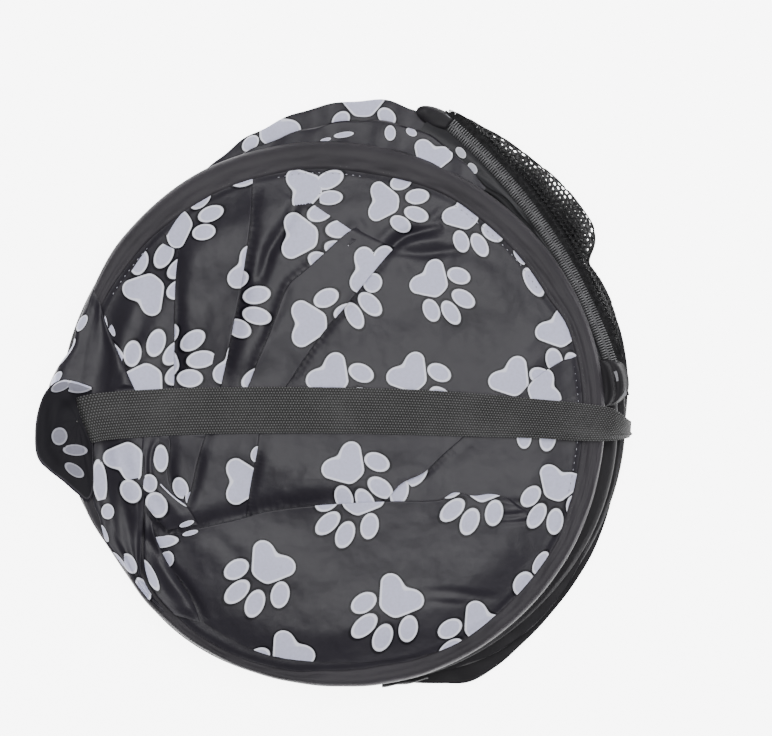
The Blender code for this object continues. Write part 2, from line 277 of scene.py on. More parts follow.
class Nodes:
    """Short names for the shader nodes that the materials use."""

    def __init__(self, name):
        self.mat = bpy.data.materials.new(name)
        self.mat.use_nodes = True
        self.tree = self.mat.node_tree
        self.shader = self.tree.nodes["Principled BSDF"]

    def feed(self, socket, value):
        """Links a socket to another one, or sets it to a number or a colour. None leaves it as it is."""
        if isinstance(value, bpy.types.NodeSocket):
            self.tree.links.new(value, socket)
        elif value is not None:
            is_colour = isinstance(value, tuple) and len(value) == 3 and len(socket.default_value) == 4
            socket.default_value = (*value, 1.0) if is_colour else value

    def make(self, kind, values=None, **settings):
        """A node of one kind. values gives its inputs by name or number."""
        node = self.tree.nodes.new("ShaderNode" + kind)
        for name, setting in settings.items():
            setattr(node, name, setting)
        for socket, value in (values or {}).items():
            self.feed(node.inputs[socket], value)
        return node

    def math(self, kind, a, b=None, c=None, clamp=False):
        return self.make("Math", {0: a, 1: b, 2: c}, operation=kind, use_clamp=clamp).outputs[0]

    def plus(self, a, b):
        return self.math("ADD", a, b)

    def minus(self, a, b):
        return self.math("SUBTRACT", a, b)

    def times(self, a, b):
        return self.math("MULTIPLY", a, b)

    def length(self, a, b):
        return self.math("SQRT", self.plus(self.times(a, a), self.times(b, b)))

    def uv(self, name):
        return self.make("UVMap", uv_map=name).outputs[0]

    def place(self):
        return self.make("TexCoord").outputs["Object"]

    def scaled(self, vector, scale):
        return self.make("Mapping", {"Scale": scale, "Vector": vector}).outputs[0]

    def parts(self, vector):
        return self.make("SeparateXYZ", {0: vector}).outputs

    def noise(self, vector, scale, detail):
        values = {"Vector": vector, "Scale": scale, "Detail": detail, "Roughness": 0.55}
        return self.make("TexNoise", values).outputs["Fac"]

    def spread(self, value, low, high, out_low=0.0, out_high=1.0, soft=False):
        kind = "SMOOTHSTEP" if soft else "LINEAR"
        values = dict(enumerate((value, low, high, out_low, out_high)))
        return self.make("MapRange", values, interpolation_type=kind).outputs[0]

    def mix(self, factor, a, b):
        return self.make("Mix", {0: factor, 6: a, 7: b}, data_type="RGBA").outputs[2]

    def bump(self, height, strength, distance, under=None):
        values = {"Strength": strength, "Distance": distance, "Height": height, "Normal": under}
        return self.make("Bump", values).outputs[0]

    def finish(self, colour, rough, metal=0.0, normal=None, sheen=0.0, ior_level=0.5):
        values = {"Base Color": colour, "Roughness": rough, "Metallic": metal, "Normal": normal,
                  "Specular IOR Level": ior_level}
        if sheen:
            values.update({"Sheen Weight": sheen, "Sheen Roughness": 0.4})
        for socket, value in values.items():
            self.feed(self.shader.inputs[socket], value)
        return self.mat


def shade(colour, factor):
    return tuple(c * factor for c in colour)


def weave(n, vector):
    """Height of a plain weave."""
    x, y, _ = n.parts(vector)
    a = n.math("SINE", n.times(x, WEAVE * math.pi))
    b = n.math("SINE", n.times(y, WEAVE * math.pi))
    return n.times(a, b)


def paw_distance(n):
    """How far outside the nearest drawn mark a point is, in millimetres, from the print's coordinates."""
    u, v, _ = n.parts(n.uv("print"))
    u = n.times(u, 100.0)
    v = n.times(v, 100.0)

    def oval(cu, cv, long, wide, lean):
        c, s = math.cos(math.radians(lean)), math.sin(math.radians(lean))
        du = n.minus(u, cu)
        dv = n.minus(v, cv)
        a = n.math("DIVIDE", n.minus(n.times(du, c), n.times(dv, s)), wide)
        b = n.math("DIVIDE", n.plus(n.times(du, s), n.times(dv, c)), long)
        return n.times(n.minus(n.length(a, b), 1.0), wide)

    def pad_shape(across, along):
        side = n.math("SQRT", n.plus(n.times(across, across), PAD_CLEFT ** 2))
        du = n.minus(side, PAD_BACK[0])
        dv = n.minus(along, PAD_BACK[1])
        eu, ev = PAD_FRONT[0] - PAD_BACK[0], PAD_FRONT[1] - PAD_BACK[1]
        span = eu * eu + ev * ev
        t = n.math("ADD", n.times(du, eu / span), n.times(dv, ev / span), clamp=True)
        gap = n.length(n.minus(du, n.times(t, eu)), n.minus(dv, n.times(t, ev)))
        return n.minus(gap, n.math("MULTIPLY_ADD", t, -PAD_TAPER, PAD_R))

    nearest = pad_shape(u, v)
    nearest = n.math("MINIMUM", nearest, pad_shape(n.minus(u, APART), v))
    for shape in [oval(*outline) for outline in TOES]:
        nearest = n.math("MINIMUM", nearest, shape)
    return nearest


def printed(name, ground, paint, rough, rim_tone, strength=0.35):
    """Printed cloth: pale marks with a dark line round them and a rim of their own tone inside it."""
    n = Nodes(name)
    cloth = n.uv("cloth")
    d = paw_distance(n)
    patchy = n.noise(n.place(), 16.0, 4.0)
    ground = n.mix(n.spread(patchy, 0.3, 0.75), ground, shade(ground, 1.28))
    speck = n.noise(cloth, 60.0, 2.0)
    paint = n.mix(n.spread(speck, 0.35, 0.7), paint, shade(paint, 0.90))
    rim = n.spread(d, -1.3, -0.7, 0.0, 0.8, soft=True)
    paint = n.mix(rim, paint, tuple(min(0.9, c) for c in shade(rim_tone, 1.6)))
    halo = n.times(n.spread(d, 0.0, 0.2), n.spread(d, 1.3, 0.8))
    ground = n.mix(n.times(halo, 0.95), ground, (0.002, 0.0015, 0.004))
    inside = n.spread(d, 0.12, -0.12)
    colour = n.mix(inside, ground, paint)
    normal = n.bump(n.noise(cloth, 4.0, 3.0), strength, 0.0035)
    normal = n.bump(weave(n, cloth), 0.5, 0.00003, normal)
    normal = n.bump(inside, 0.25, 0.00008, normal)
    return n.finish(colour, n.spread(inside, 0.0, 1.0, rough, rough + 0.12), normal=normal, ior_level=0.22)


def plain_cloth(name, ground, rough):
    n = Nodes(name)
    cloth = n.uv("cloth")
    patchy = n.noise(n.place(), 22.0, 5.0)
    colour = n.mix(n.spread(patchy, 0.3, 0.7), ground, shade(ground, 1.45))
    streaks = n.noise(n.scaled(cloth, (2.0, 9.0, 1.0)), 1.0, 2.0)
    normal = n.bump(streaks, 0.3, 0.0008)
    normal = n.bump(weave(n, cloth), 0.5, 0.00003, normal)
    return n.finish(colour, rough, normal=normal, ior_level=0.12)


def webbing(name):
    """Ribbed elastic: rows of little stitches along it, each row set off by half a stitch from the next."""
    rib_apart, stitch_apart = 1.45, 1.5
    n = Nodes(name)
    u, v, _ = n.parts(n.uv("cloth"))
    row = n.times(v, 100 / rib_apart)
    odd = n.times(n.math("ROUND", n.math("MODULO", n.math("FLOOR", row), 2.0)), 0.5)
    rib = n.math("ABSOLUTE", n.math("SINE", n.times(row, math.pi)))
    dash = n.math("SINE", n.times(n.plus(n.times(u, 100 / stitch_apart), odd), CIRCLE))
    stitch = n.times(n.spread(dash, -0.2, 0.6), n.spread(rib, 0.35, 0.85))
    colour = n.mix(stitch, (0.030, 0.030, 0.030), (0.120, 0.120, 0.121))
    worn = n.noise(n.uv("cloth"), 3.0, 4.0)
    colour = n.mix(n.spread(worn, 0.45, 0.8, 0.0, 0.25), colour, (0.135, 0.135, 0.136))
    height = n.plus(n.times(stitch, 0.8), rib)
    return n.finish(colour, 0.8, normal=n.bump(height, 0.9, 0.0004), ior_level=0.15)


def tape_cloth(name):
    """The zipper's tape, with fine ribs that run across it at a slant."""
    n = Nodes(name)
    u, v, _ = n.parts(n.uv("cloth"))
    rib = n.math("SINE", n.times(n.plus(u, n.times(v, 0.6)), 700.0))
    colour = n.mix(n.spread(rib, -1, 1), (0.006, 0.006, 0.007), (0.014, 0.014, 0.015))
    return n.finish(colour, 0.8, normal=n.bump(rib, 0.6, 0.0002), sheen=0.1)


def hard(name, colour, rough, metal, grain):
    """Metal, nylon or thread with a fine uneven grain."""
    n = Nodes(name)
    worn = n.noise(n.place(), grain, 4.0)
    lighter = tuple(min(1.0, c * 1.5 + 0.01) for c in colour)
    tint = n.mix(n.spread(worn, 0.4, 0.75), colour, lighter)
    uneven = n.spread(worn, 0.3, 0.8, rough - 0.06, rough + 0.1)
    return n.finish(tint, uneven, metal, normal=n.bump(worn, 0.15, 0.0002))


PRINT = printed("printed_cloth", (0.0150, 0.0136, 0.0184), (0.50, 0.505, 0.66), 0.42, (0.50, 0.50, 0.55))
# The cloth's reverse: a dark ground with dim paws where the print shows through. Its colour is darkened
# further as painted shade for the inside of the sleeve's pocket.
REVERSE_AND_SHADE = printed("cloth_reverse_and_painted_shade", (0.006, 0.0055, 0.008), (0.20, 0.20, 0.25), 0.75, (0.22, 0.22, 0.25), 0.2)
PLAIN = plain_cloth("casing_cloth", (0.0125, 0.012, 0.0135), 0.6)
# The top hoop's casing is the same cloth as casing_cloth, with its colour painted twice as light: painted
# light on the top of the stack.
TOP_CASING_LIT_CLOTH = plain_cloth("top_casing_painted_light_cloth", (0.0250, 0.0232, 0.0268), 0.48)
DARK = plain_cloth("facing_cloth", (0.010, 0.010, 0.011), 0.55)
DARKPRINT = printed("surround_cloth", (0.012, 0.012, 0.014), (0.42, 0.43, 0.50), 0.5, (0.4, 0.4, 0.42))
WEBBING = webbing("elastic_webbing")
TAPE = tape_cloth("zipper_tape_cloth")
NYLON = hard("coil_nylon", (0.080, 0.080, 0.084), 0.26, 0.0, 300.0)
NET = hard("net_cord", (0.008, 0.008, 0.009), 0.6, 0.0, 500.0)
BLACK = hard("black_plated_metal", (0.030, 0.030, 0.033), 0.30, 0.9, 160.0)
STEEL = hard("spring_steel", (0.50, 0.51, 0.53), 0.28, 1.0, 200.0)
THREAD = hard("grey_thread", (0.030, 0.030, 0.033), 0.7, 0.0, 400.0)
PALE = hard("pale_thread", (0.30, 0.30, 0.34), 0.7, 0.0, 400.0)


# ---------------------------------------------------------------- hoops

# Outer and inner radius of the top casing's outline by angle, round its own centre.
TOP_CASING = [
    (0, 150.2, 138.0), (20, 150.0, 138.2), (30, 149.8, 135.0), (50, 149.3, 135.0), (62, 149.3, 136.2),
    (80, 150.6, 134.8), (100, 151.8, 136.8), (120, 153.0, 138.4), (140, 152.0, 140.0), (155, 149.6, 141.0),
    (170, 148.6, 138.0), (185, 148.6, 136.4), (200, 146.2, 135.6), (214, 143.4, 134.4), (228, 146.4, 139.4),
    (240, 147.8, 142.2), (250, 148.6, 143.2), (260, 149.2, 142.8), (270, 150.0, 140.8), (280, 151.2, 140.8),
    (290, 152.0, 142.4), (300, 152.2, 143.2), (312, 152.0, 141.9), (330, 151.6, 141.8), (340, 151.0, 139.4),
    (350, 150.4, 138.2), (360, 150.2, 138.0)]


def top_casing(theta):
    """Outer and inner radius of the top casing, eased from each listed angle to the next."""
    angle, outer, inner = np.array(TOP_CASING).T
    steps = np.linspace(0, 1, 12, endpoint=False)

    def between(values, share):
        return (values[:-1, None] + np.diff(values)[:, None] * share).ravel()

    where = between(np.radians(angle), steps)
    turn = np.mod(theta, CIRCLE)
    return [np.interp(turn, where, between(line, smooth(steps)), period=CIRCLE) for line in (outer, inner)]


def hoop_line(index, theta):
    """Radius of a hoop's outer edge. The two upper hoops are pressed in where the cloth hangs over them."""
    if index == 4:
        return top_casing(theta)[0]
    r = np.full_like(theta, HOOP_R)
    if index == 3:
        r = r - 7.0 * np.exp(-((np.degrees(theta) % 360.0 - 214.0) / 19.0) ** 2)
    return r + 0.35 * np.sin(3 * theta + index) + 0.25 * np.sin(7 * theta + 2 * index)


def band(index, theta):
    """Width of a casing as it lies."""
    if index == 4:
        outer, inner = top_casing(theta)
        return outer - inner
    return np.full_like(theta, CASING_WIDTH)


def inner_edge(index, theta):
    """Radius of a casing's inner edge."""
    return hoop_line(index, theta) - band(index, theta)


# A casing's section as (place from its middle outwards, height over the wire): its upper face, and the
# seam at its inner edge, which stands up in a lip on the top hoop.
CASING_FACE = [(-3.0, 2.9), (-0.5, 3.5), (2.2, 3.6), (4.6, 3.0), (6.4, 1.8), (7.4, 0.4)]
CASING_SEAM = [(-7.6, 0.35), (-6.6, 0.9), (-5.0, 1.9)]
CASING_LIP = [(-7.7, 1.5), (-7.5, 2.1), (-6.6, 2.35), (-5.0, 2.5)]
CASING_ROOM = 3.68


def casing(index):
    """A strip of cloth folded round the wire and sewn down at the hoop's inner edge."""
    theta = around(420)
    width = band(index, theta)
    middle = hoop_line(index, theta) - width / 2
    seam = CASING_LIP if index == 4 else CASING_SEAM
    under = [(x, -z) for x, z in reversed(CASING_SEAM + CASING_FACE)]
    rows = []
    for x, z in curve(seam + CASING_FACE + under, 34):
        top = math.copysign(1.0, z)
        pucker = 0.34 * ripple(theta * 140, x * 3.0 + top * 40, 17.0, 0.25 + 0.1 * index)
        crease = 0.16 * np.sin(theta * 31 + 2.5 * np.sin(theta * 5 + index) + x * 0.55)
        long = 0.55 * np.sin(x * 1.15 + 2.2 * np.sin(theta * 3 + index))
        long = long * smooth(np.sin(theta * 2 + 1.9 * index) + 0.3)
        inward = smooth((2.0 - x) / 9.0)
        swell = top * ((pucker + crease) * (0.25 + 0.75 * inward) - abs(long)) * (0.3 if abs(x) > 7 else 1.0)
        up = np.clip(z + swell, -CASING_ROOM, CASING_ROOM)
        rows.append(polar(CENTRES[index], middle + x * width / CASING_WIDTH, theta, hoop_z(index) + up))
    grid = np.stack(rows, axis=1)
    uvs = {"cloth": strip_uv(grid, HOOP_GIRTH, 38, wrap_rows=True)}
    # The top hoop's casing takes the copy of the casing cloth that has painted light.
    obj = grid_object(f"casing_{index + 1}", grid, TOP_CASING_LIT_CLOTH if index == 4 else PLAIN, uvs, wrap_rows=True)
    describe(obj, BODIES[index], "casing_fabric", f"hoop_casing_{index + 1}",
             flat=(0.035, 0.94), held="stretched", rests_on=[f"wire_{index + 1}"])


def wire(index):
    theta = around(300)
    r = hoop_line(index, theta) - 0.27 * band(index, theta)
    rows = [polar(CENTRES[index], r + WIRE_R * math.cos(a), theta, hoop_z(index) + WIRE_R * math.sin(a))
            for a in around(10)]
    obj = grid_object(f"wire_{index + 1}", np.stack(rows, axis=1), STEEL, wrap_rows=True, wrap_cols=True)
    describe(obj, BODIES[index], "spring_steel", f"hoop_wire_{index + 1}")


# Along a stitch: place, share of its thickness, and height as a share of its lift.
STITCH = [(0.0, 0.3, -0.7), (0.2, 0.9, 0.4), (0.5, 1.0, 1.0), (0.8, 0.9, 0.4), (1.0, 0.3, -0.7)]


def stitches(name, ends, thick, lift, mat, body):
    """Short stitches: each is a thread that dips at both ends."""
    verts, faces = [], []
    ring = around(5)
    for a, b in ends:
        ahead = (b - a) / np.linalg.norm(b - a)
        side = np.cross(ahead, (0, 0, 1.0))
        side = side / np.linalg.norm(side)
        faces.append(grid_faces(len(STITCH), len(ring), wrap_cols=True, start=len(verts)))
        for t, share, up in STITCH:
            middle = a + (b - a) * t + np.array((0, 0, up * lift))
            for s in ring:
                verts.append(middle + thick * share * (side * math.cos(s) + np.array((0, 0, math.sin(s)))))
    obj = mesh_object(name, np.array(verts), np.vstack(faces), mat)
    describe(obj, body, "casing_fabric")


def casing_stitches(index):
    """A row of stitches along the casing's inner edge."""
    count, share = 250, 0.62
    first, last = (CIRCLE * (np.arange(count) + k) / count for k in (0.0, share))
    r = inner_edge(index, first) + 1.6
    ends = np.stack([polar(CENTRES[index], r, a, hoop_z(index) + 1.75) for a in (first, last)], axis=1)
    stitches(f"casing_stitch_{index + 1}", ends, 0.28, 0.3, THREAD, BODIES[index])


def sleeve_stitches():
    """Pale stitches that show where the sleeve is sewn to the top hoop's casing."""
    count, half = 224, 0.0042
    shown = [(0, 12), (32, 60), (82, 104), (136, 152), (312, 326), (341, 360)]
    angle = CIRCLE * np.arange(count) / count
    angle = angle[[any(first < a < last for first, last in shown) for a in np.degrees(angle)]]
    r = inner_edge(4, angle) - 2.6
    x, y, _ = polar(TOP, r, angle, 0.0).T
    z = sleeve_height(x, y, 0, 0.0) + 0.25
    ends = np.stack([polar(TOP, r, angle + turn, z) for turn in (-half, half)], axis=1)
    stitches("sleeve_stitches", ends, 0.26, 0.25, PALE, "top_hoop")


def bay_wall(index):
    """The printed cloth of one bay, lying folded back and forth inside the hoops."""
    lower, upper = np.array(CENTRES[index]), np.array(CENTRES[index + 1])
    theta = around(220)
    legs, per_leg, rise = 13, 5, 6.8
    u = np.linspace(0, 1, legs * per_leg + 1)
    low_edge, high_edge = inner_edge(index, theta), inner_edge(index + 1, theta)
    clear = np.minimum(low_edge, high_edge) - 0.4
    offset = np.linalg.norm(upper - lower) / 2
    base = hoop_z(index) + 0.6
    rows = []
    for t, fold, level in zip(u, 0.5 - 0.5 * np.cos(u * legs * math.pi), pass_level(u)):
        ends = abs(2 * t - 1) ** 6
        centre = lower + (upper - lower) * (0.5 + (t - 0.5) * ends)
        depth = 15.0 + 1.3 * np.sin(theta * 4 + index + 5 * t) + 0.9 * np.sin(theta * 11 + 9 * t)
        sewn = (low_edge if t < 0.5 else high_edge) + 2.6 - clear
        r = clear - offset * (1 - ends) * 0.96 - depth * fold + sewn * abs(2 * t - 1) ** 30
        rows.append(polar(centre, r, theta, base + rise * level))
    grid = np.stack(rows, axis=1)
    uv = strip_uv(grid, HOOP_GIRTH, 215, wrap_rows=True)
    corners = np.arange(len(uv)).reshape(-1, 4)
    print_uv = paw_uv(uv * 100, corners, lattice(20, 935, 25 + 9 * index, 215))
    obj = grid_object(f"bay_wall_{index + 1}", grid, PRINT, {"cloth": uv, "print": print_uv}, wrap_rows=True)
    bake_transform(obj)
    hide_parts(f"tunnel_wall_{index + 1}")


# ---------------------------------------------------------------- the near end's gathered sleeve

# The layers of the sleeve, as (grid, marks, whether it closes on itself). They are joined at the end.
SLEEVE = []
# Height of the bottom layer at the hoop, the step up to each next one, and where the folds fan out from.
SLEEVE_Z = 36.4
LAYER_STEP = 0.14
GATHER = (-128.0, -14.0)

# The strap's middle line: x, y, z, width, tilt and turn in degrees.
STRAP_PATH = [
    (-158.4, -19.5, 24.0, 19.5, -90, 15), (-158.2, -19.3, 32.0, 20.0, -88, 15),
    (-155.6, -18.5, 38.5, 21.5, -50, 16), (-149.5, -17.2, 40.2, 23.5, -4, 18),
    (-142.6, -15.6, 40.4, 25.2, -6, 19), (-138.2, -14.3, 41.2, 26.0, -56, 19),
    (-136.6, -13.8, 43.8, 26.4, -58, 19), (-134.2, -13.1, 45.4, 26.4, -12, 18),
    (-128.0, -11.9, 45.9, 26.2, 0, 12), (-112.0, -10.5, 45.5, 25.9, 0, 4), (-78.0, -8.8, 44.2, 25.6, 0, 1),
    (-24.0, -8.2, 43.1, 25.3, 0, 0), (30.0, -9.0, 42.6, 25.0, 0, -1), (70.0, -10.6, 42.5, 24.0, 0, -3),
    (110.0, -12.9, 42.6, 21.6, 0, -3), (135.0, -14.8, 42.9, 20.6, 0, -4), (149.6, -16.0, 42.6, 18.6, 10, -6),
    (156.0, -17.4, 40.2, 15.0, 34, -8), (160.8, -18.8, 35.2, 11.0, 62, -8), (163.8, -19.2, 27.0, 9.0, 80, -4),
    (164.5, -19.0, 17.0, 8.6, 88, 0), (164.6, -18.6, 9.0, 8.4, 90, 0)]


def strap_ceiling(x, y):
    """Height that the cloth keeps below: the strap's underside, and open beside it."""
    px, py, pz, width = np.array([p[:4] for p in STRAP_PATH if -135 < p[0] < 150]).T
    half = np.interp(x, px, width) / 2
    beside = np.abs(y - np.interp(x, px, py)) - half - 0.3
    return np.interp(x, px, pz) - 0.95 + 7.0 * smooth(beside / 9.0)


def rim_gap(x, y):
    """Distance inwards from the top hoop's inner edge."""
    theta = np.arctan2(y - TOP[1], x - TOP[0])
    return inner_edge(4, theta) + 0.1 - np.hypot(x - TOP[0], y - TOP[1])


# The free edges of the pleats, from the hoop or the gather to their other ends.
EDGE_FIRST = [(-94, -18), (-88.3, 3), (-88.0, 20), (-87.6, 45), (-87.2, 62), (-86.0, 76), (-85.4, 84)]
EDGE_SECOND = [
    (-66, -16), (-62, 6), (-58.5, 22), (-54.5, 43), (-51.5, 58), (-48.8, 75), (-46.3, 92), (-45.4, 110),
    (-45.2, 118), (-45, 125)]
EDGE_THIRD = [
    (-56, -14), (-47, 6), (-42, 19), (-37.8, 29), (-32.5, 43), (-28.6, 54), (-24.5, 61.7), (-17.7, 67.3),
    (-8.8, 75), (-0.3, 83), (7.5, 89.7), (18, 96)]
EDGE_FOURTH = [
    (-40, -14), (-24.5, 7.8), (-7.6, 32.5), (4.7, 47), (14.8, 59.4), (24.9, 71.8), (31.6, 79.6), (39, 86)]
EDGE_RIGHT = [(138, 24), (131, 20.5), (124.8, 18.6), (113, 11.2), (104.6, 3.3), (98, -6)]
EDGE_LOWER_A = [(-92.5, -14), (-90, -24), (-90.2, -32), (-91.2, -42), (-89, -52), (-84, -60)]
EDGE_LOWER_B = [(-66, -12), (-70.5, -22), (-74.8, -36), (-77.6, -49), (-80.5, -58), (-83, -68)]
EDGE_LOWER_C = [(-38, -10), (-41, -21), (-42.6, -32), (-46.2, -50), (-48.4, -66), (-50, -80)]
EDGE_LOWER_D = [
    (86, -10), (71, -23), (60.3, -32.4), (49.5, -42.4), (37, -48.6), (28.7, -57.1), (18, -66), (4, -76)]
EDGE_HEM = [
    (-103.5, -78.5), (-94, -77.5), (-83.5, -75.2), (-67.8, -71.5), (-49.9, -67.3), (-36.2, -63.6),
    (-8, -60.4), (28.7, -58.4), (56, -57.8), (65.7, -53.5), (76.5, -55.3), (88, -54.6), (104, -60)]
CREASE_DROP = [
    (-104.6, -77.8), (-99.3, -83), (-89.9, -95.7), (-81.4, -106.2), (-75.1, -116.7), (-72.0, -124.5)]

# Hollows: points, depth, width, and the layer they stop under. A negative depth is a ridge.
HOLLOWS = [
    (EDGE_FIRST, 3.8, 5.0, 4), (EDGE_SECOND, 3.6, 5.0, 3), (EDGE_THIRD, 1.8, 3.5, 2),
    (EDGE_FOURTH, 1.4, 3.0, 2), (EDGE_LOWER_A, 2.4, 3.8, 4), (EDGE_LOWER_B, 2.4, 3.8, 3),
    (EDGE_LOWER_C, 1.8, 3.5, 2), (EDGE_LOWER_D, 1.4, 3.0, 1), (EDGE_HEM[:8], 4.0, 7.0, 4),
    (EDGE_RIGHT, 1.6, 4.0, 1),
    ([(-21, 106), (-26.2, 94.5), (-35.7, 78.7), (-39.9, 66.1), (-44.1, 60)], 3.2, 3.6, 9),
    ([(-24, 100), (-31, 86), (-36, 74)], -0.8, 3.5, 9),
    ([(-26, 60), (-29, 50), (-34, 38), (-39, 26)], 0.8, 2.4, 9),
    ([(26, 77), (33, 83), (40, 87.5), (48, 90), (60, 93)], 2.7, 2.6, 9),
    ([(33, 79), (47.4, 77.6), (60, 79), (76, 81)], 1.6, 2.6, 9),
    ([(35, 78), (37, 71), (40, 64)], 0.5, 3.0, 9), ([(44, 96), (54, 97.5), (65, 107)], 1.1, 2.8, 9),
    ([(38, 83), (48, 84.5), (62, 86)], -1.0, 2.6, 9), ([(24, 84), (34, 92), (46, 96)], -0.9, 3.0, 9),
    ([(60, 74), (75, 77), (92, 70)], 0.7, 4.5, 9), ([(88, -66), (98, -66), (109, -64)], 0.9, 1.8, 9),
    ([(90, -70.5), (100, -70), (112, -68.5)], 0.7, 1.6, 9),
    ([(88, -58), (100, -59.5), (108, -58)], 0.7, 1.8, 9),
    ([(50, -108), (66, -108.5), (90, -112)], 0.9, 2.6, 9),
    ([(52, -113), (64, -114.5), (74, -114)], 0.6, 2.0, 9),
    ([(-70, -76), (-58, -84), (-48, -96)], 0.9, 4.5, 9),
    ([(-101, -66), (-95, -71), (-90, -75.5)], 2.2, 3.0, 4),
    ([(133, -30), (126, -26), (112, -24)], 0.7, 3.0, 9), ([(-20, -30), (-24, -48), (-30, -60)], 0.7, 5.0, 9),
    ([(70, 40), (90, 34), (112, 48)], 0.6, 7.0, 9), ([(20, 24), (60, 34), (84, 20)], 0.6, 8.0, 9),
    (CREASE_DROP, 2.6, 3.0, 9)]


def hollows(x, y, layer):
    """How far the cloth of one layer dips below its swell."""
    total = np.zeros_like(x)
    margin, count = 12.0, 36
    ends = np.sin(np.linspace(0.05, 1.0, count) * math.pi) ** 0.6
    for points, depth, width, stop in HOLLOWS:
        if layer >= stop:
            continue
        line = curve(points, count)
        near = (x > line[:, 0].min() - margin) & (x < line[:, 0].max() + margin)
        near &= (y > line[:, 1].min() - margin) & (y < line[:, 1].max() + margin)
        if not near.any():
            continue
        apart = (x[near][:, None] - line[:, 0]) ** 2 + (y[near][:, None] - line[:, 1]) ** 2
        total[near] -= depth * ends[apart.argmin(axis=1)] * np.exp(-apart.min(axis=1) / width ** 2)
    return total


def sleeve_height(x, y, layer, raised):
    """Height of one layer of the sleeve: low by the hoop, puffed inside it, pressed flat under the strap."""
    gap = rim_gap(x, y)
    inside = smooth(gap / 26.0)
    swell = 1.3 * ripple(x, y, 74.0, 0.5) + 0.5 * ripple(x, y, 31.0, 1.9)
    fine = 0.13 * ripple(x, y, 12.0, 2.7)
    gx, gy = x - GATHER[0], y - GATHER[1]
    turn, reach = np.arctan2(gy, gx), np.hypot(gx, gy)
    fan = 0.7 * np.sin(turn * 15 + 1.6 * np.sin(turn * 5)) * smooth(reach / 60) * smooth((190 - reach) / 110)
    from_strap = np.abs(y + 10.5)
    calm = 0.35 + 0.65 * smooth((from_strap - 14.0) / 16.0)
    z = SLEEVE_Z + LAYER_STEP * layer + 0.8 * smooth(gap / 4.0)
    z = z + inside * (2.3 + raised + (swell + fan) * calm)
    z = z + (fine + hollows(x, y, layer) * calm) * smooth(gap / 10.0)
    ceiling = strap_ceiling(x, y) - 0.13 * np.clip(5 - layer, 0, 5)
    return np.minimum(z, ceiling)


# Across a flap's rolled free edge, from the tucked-under side to the upper one: the distance from the
# edge and the side that it lies on, from -1 for under to 1 for over.
ROLL = [(8.0, -1), (5.5, -1), (3.2, -1), (1.6, -1), (0.8, -1)]
ROLL += [(0.5 * (1 - math.cos(a)), math.sin(a)) for a in np.radians((-65, -35, 0, 35, 65))]
ROLL += [(0.9, 1), (1.6, 1), (2.8, 1), (4.4, 1), (6.4, 1)]


def flap(edge, far, layer, raised, marks, wide, fade=None, both=False, count=150):
    """A layer of the sleeve whose free edge is a rolled fold. The rest runs to the far line, which is rolled
    as well if both is set. raised is the height over the bottom layer, scaled along the edge by fade."""
    a, b = curve(edge, count), curve(far, count)
    width = np.linalg.norm(b - a, axis=1)
    across = (b - a) / width[:, None]
    most = 0.45 * width
    near = [(np.minimum(d, most), side) for d, side in ROLL]
    start = near[-1][0]
    stop = width - start if both else width
    shares = np.linspace(0, 1, wide)[1:-1 if both else None]
    plan = near + [(start + (stop - start) * t, 1) for t in shares]
    if both:
        plan += [(width - d, side) for d, side in reversed(near)]
    d = np.stack([p[0] for p in plan], axis=1)
    side = np.array([p[1] for p in plan])
    lift = raised * (np.interp(np.linspace(0, 1, count), *fade) if fade else np.ones(count))[:, None]
    p = a[:, None] + across[:, None] * d[..., None]
    x, y = p[..., 0], p[..., 1]
    puff = 0.9 * np.exp(-d / 6.0) + (0.9 * np.exp(-(width[:, None] - d) / 6.0) if both else 0.0)
    z = sleeve_height(x, y, layer, lift + puff * np.clip(lift, 0.0, 1.0))
    z = z + 0.5 * side * np.clip(lift, 0.3, 1.0)
    SLEEVE.append((keep_in(np.stack([x, y, z], axis=2)), marks, False))


def keep_in(grid):
    """Stops a layer at the hoop's inner edge."""
    rel = grid[..., :2] - TOP
    r = np.linalg.norm(rel, axis=-1)
    limit = inner_edge(4, np.arctan2(rel[..., 1], rel[..., 0])) + 1.2
    share = np.minimum(1.0, limit / np.maximum(r, 1e-6))
    grid[..., :2] = TOP + rel * share[..., None]
    return grid


def base_layer(marks):
    theta = around(520)[:, None]
    share = np.linspace(0, 1, 130)[1:] ** 0.8
    grid = polar(TOP, (inner_edge(4, theta) + 1.6) * share, theta, 0.0)
    grid[..., 2] = sleeve_height(grid[..., 0], grid[..., 1], 0, 0.0)
    SLEEVE.append((grid, marks, True))


def over_ring(x, y, z):
    """Carries cloth over the top hoop's casing and down outside it."""
    gap = rim_gap(x, y)
    half = CASING_WIDTH / 2
    over = 41.2 - 0.7 * ((np.clip(gap, -CASING_WIDTH, 0.0) + half) / half) ** 2
    outside = 40.5 - np.clip(-gap - CASING_WIDTH, 0, 20) * 1.3
    climb = smooth((10.0 - gap) / 12.0)
    lift = np.clip(z - 39.5, -1.0, 5.0) * 0.4
    z = z * (1 - climb) + (over + lift) * climb
    return np.where(gap < -CASING_WIDTH, outside + lift, z)


# Across a spill's side, where it tucks under: how far in and how far down each point lies.
TUCK = [(2.6, -1.6), (1.3, -1.3), (0.4, -0.8), (0.0, -0.1)]


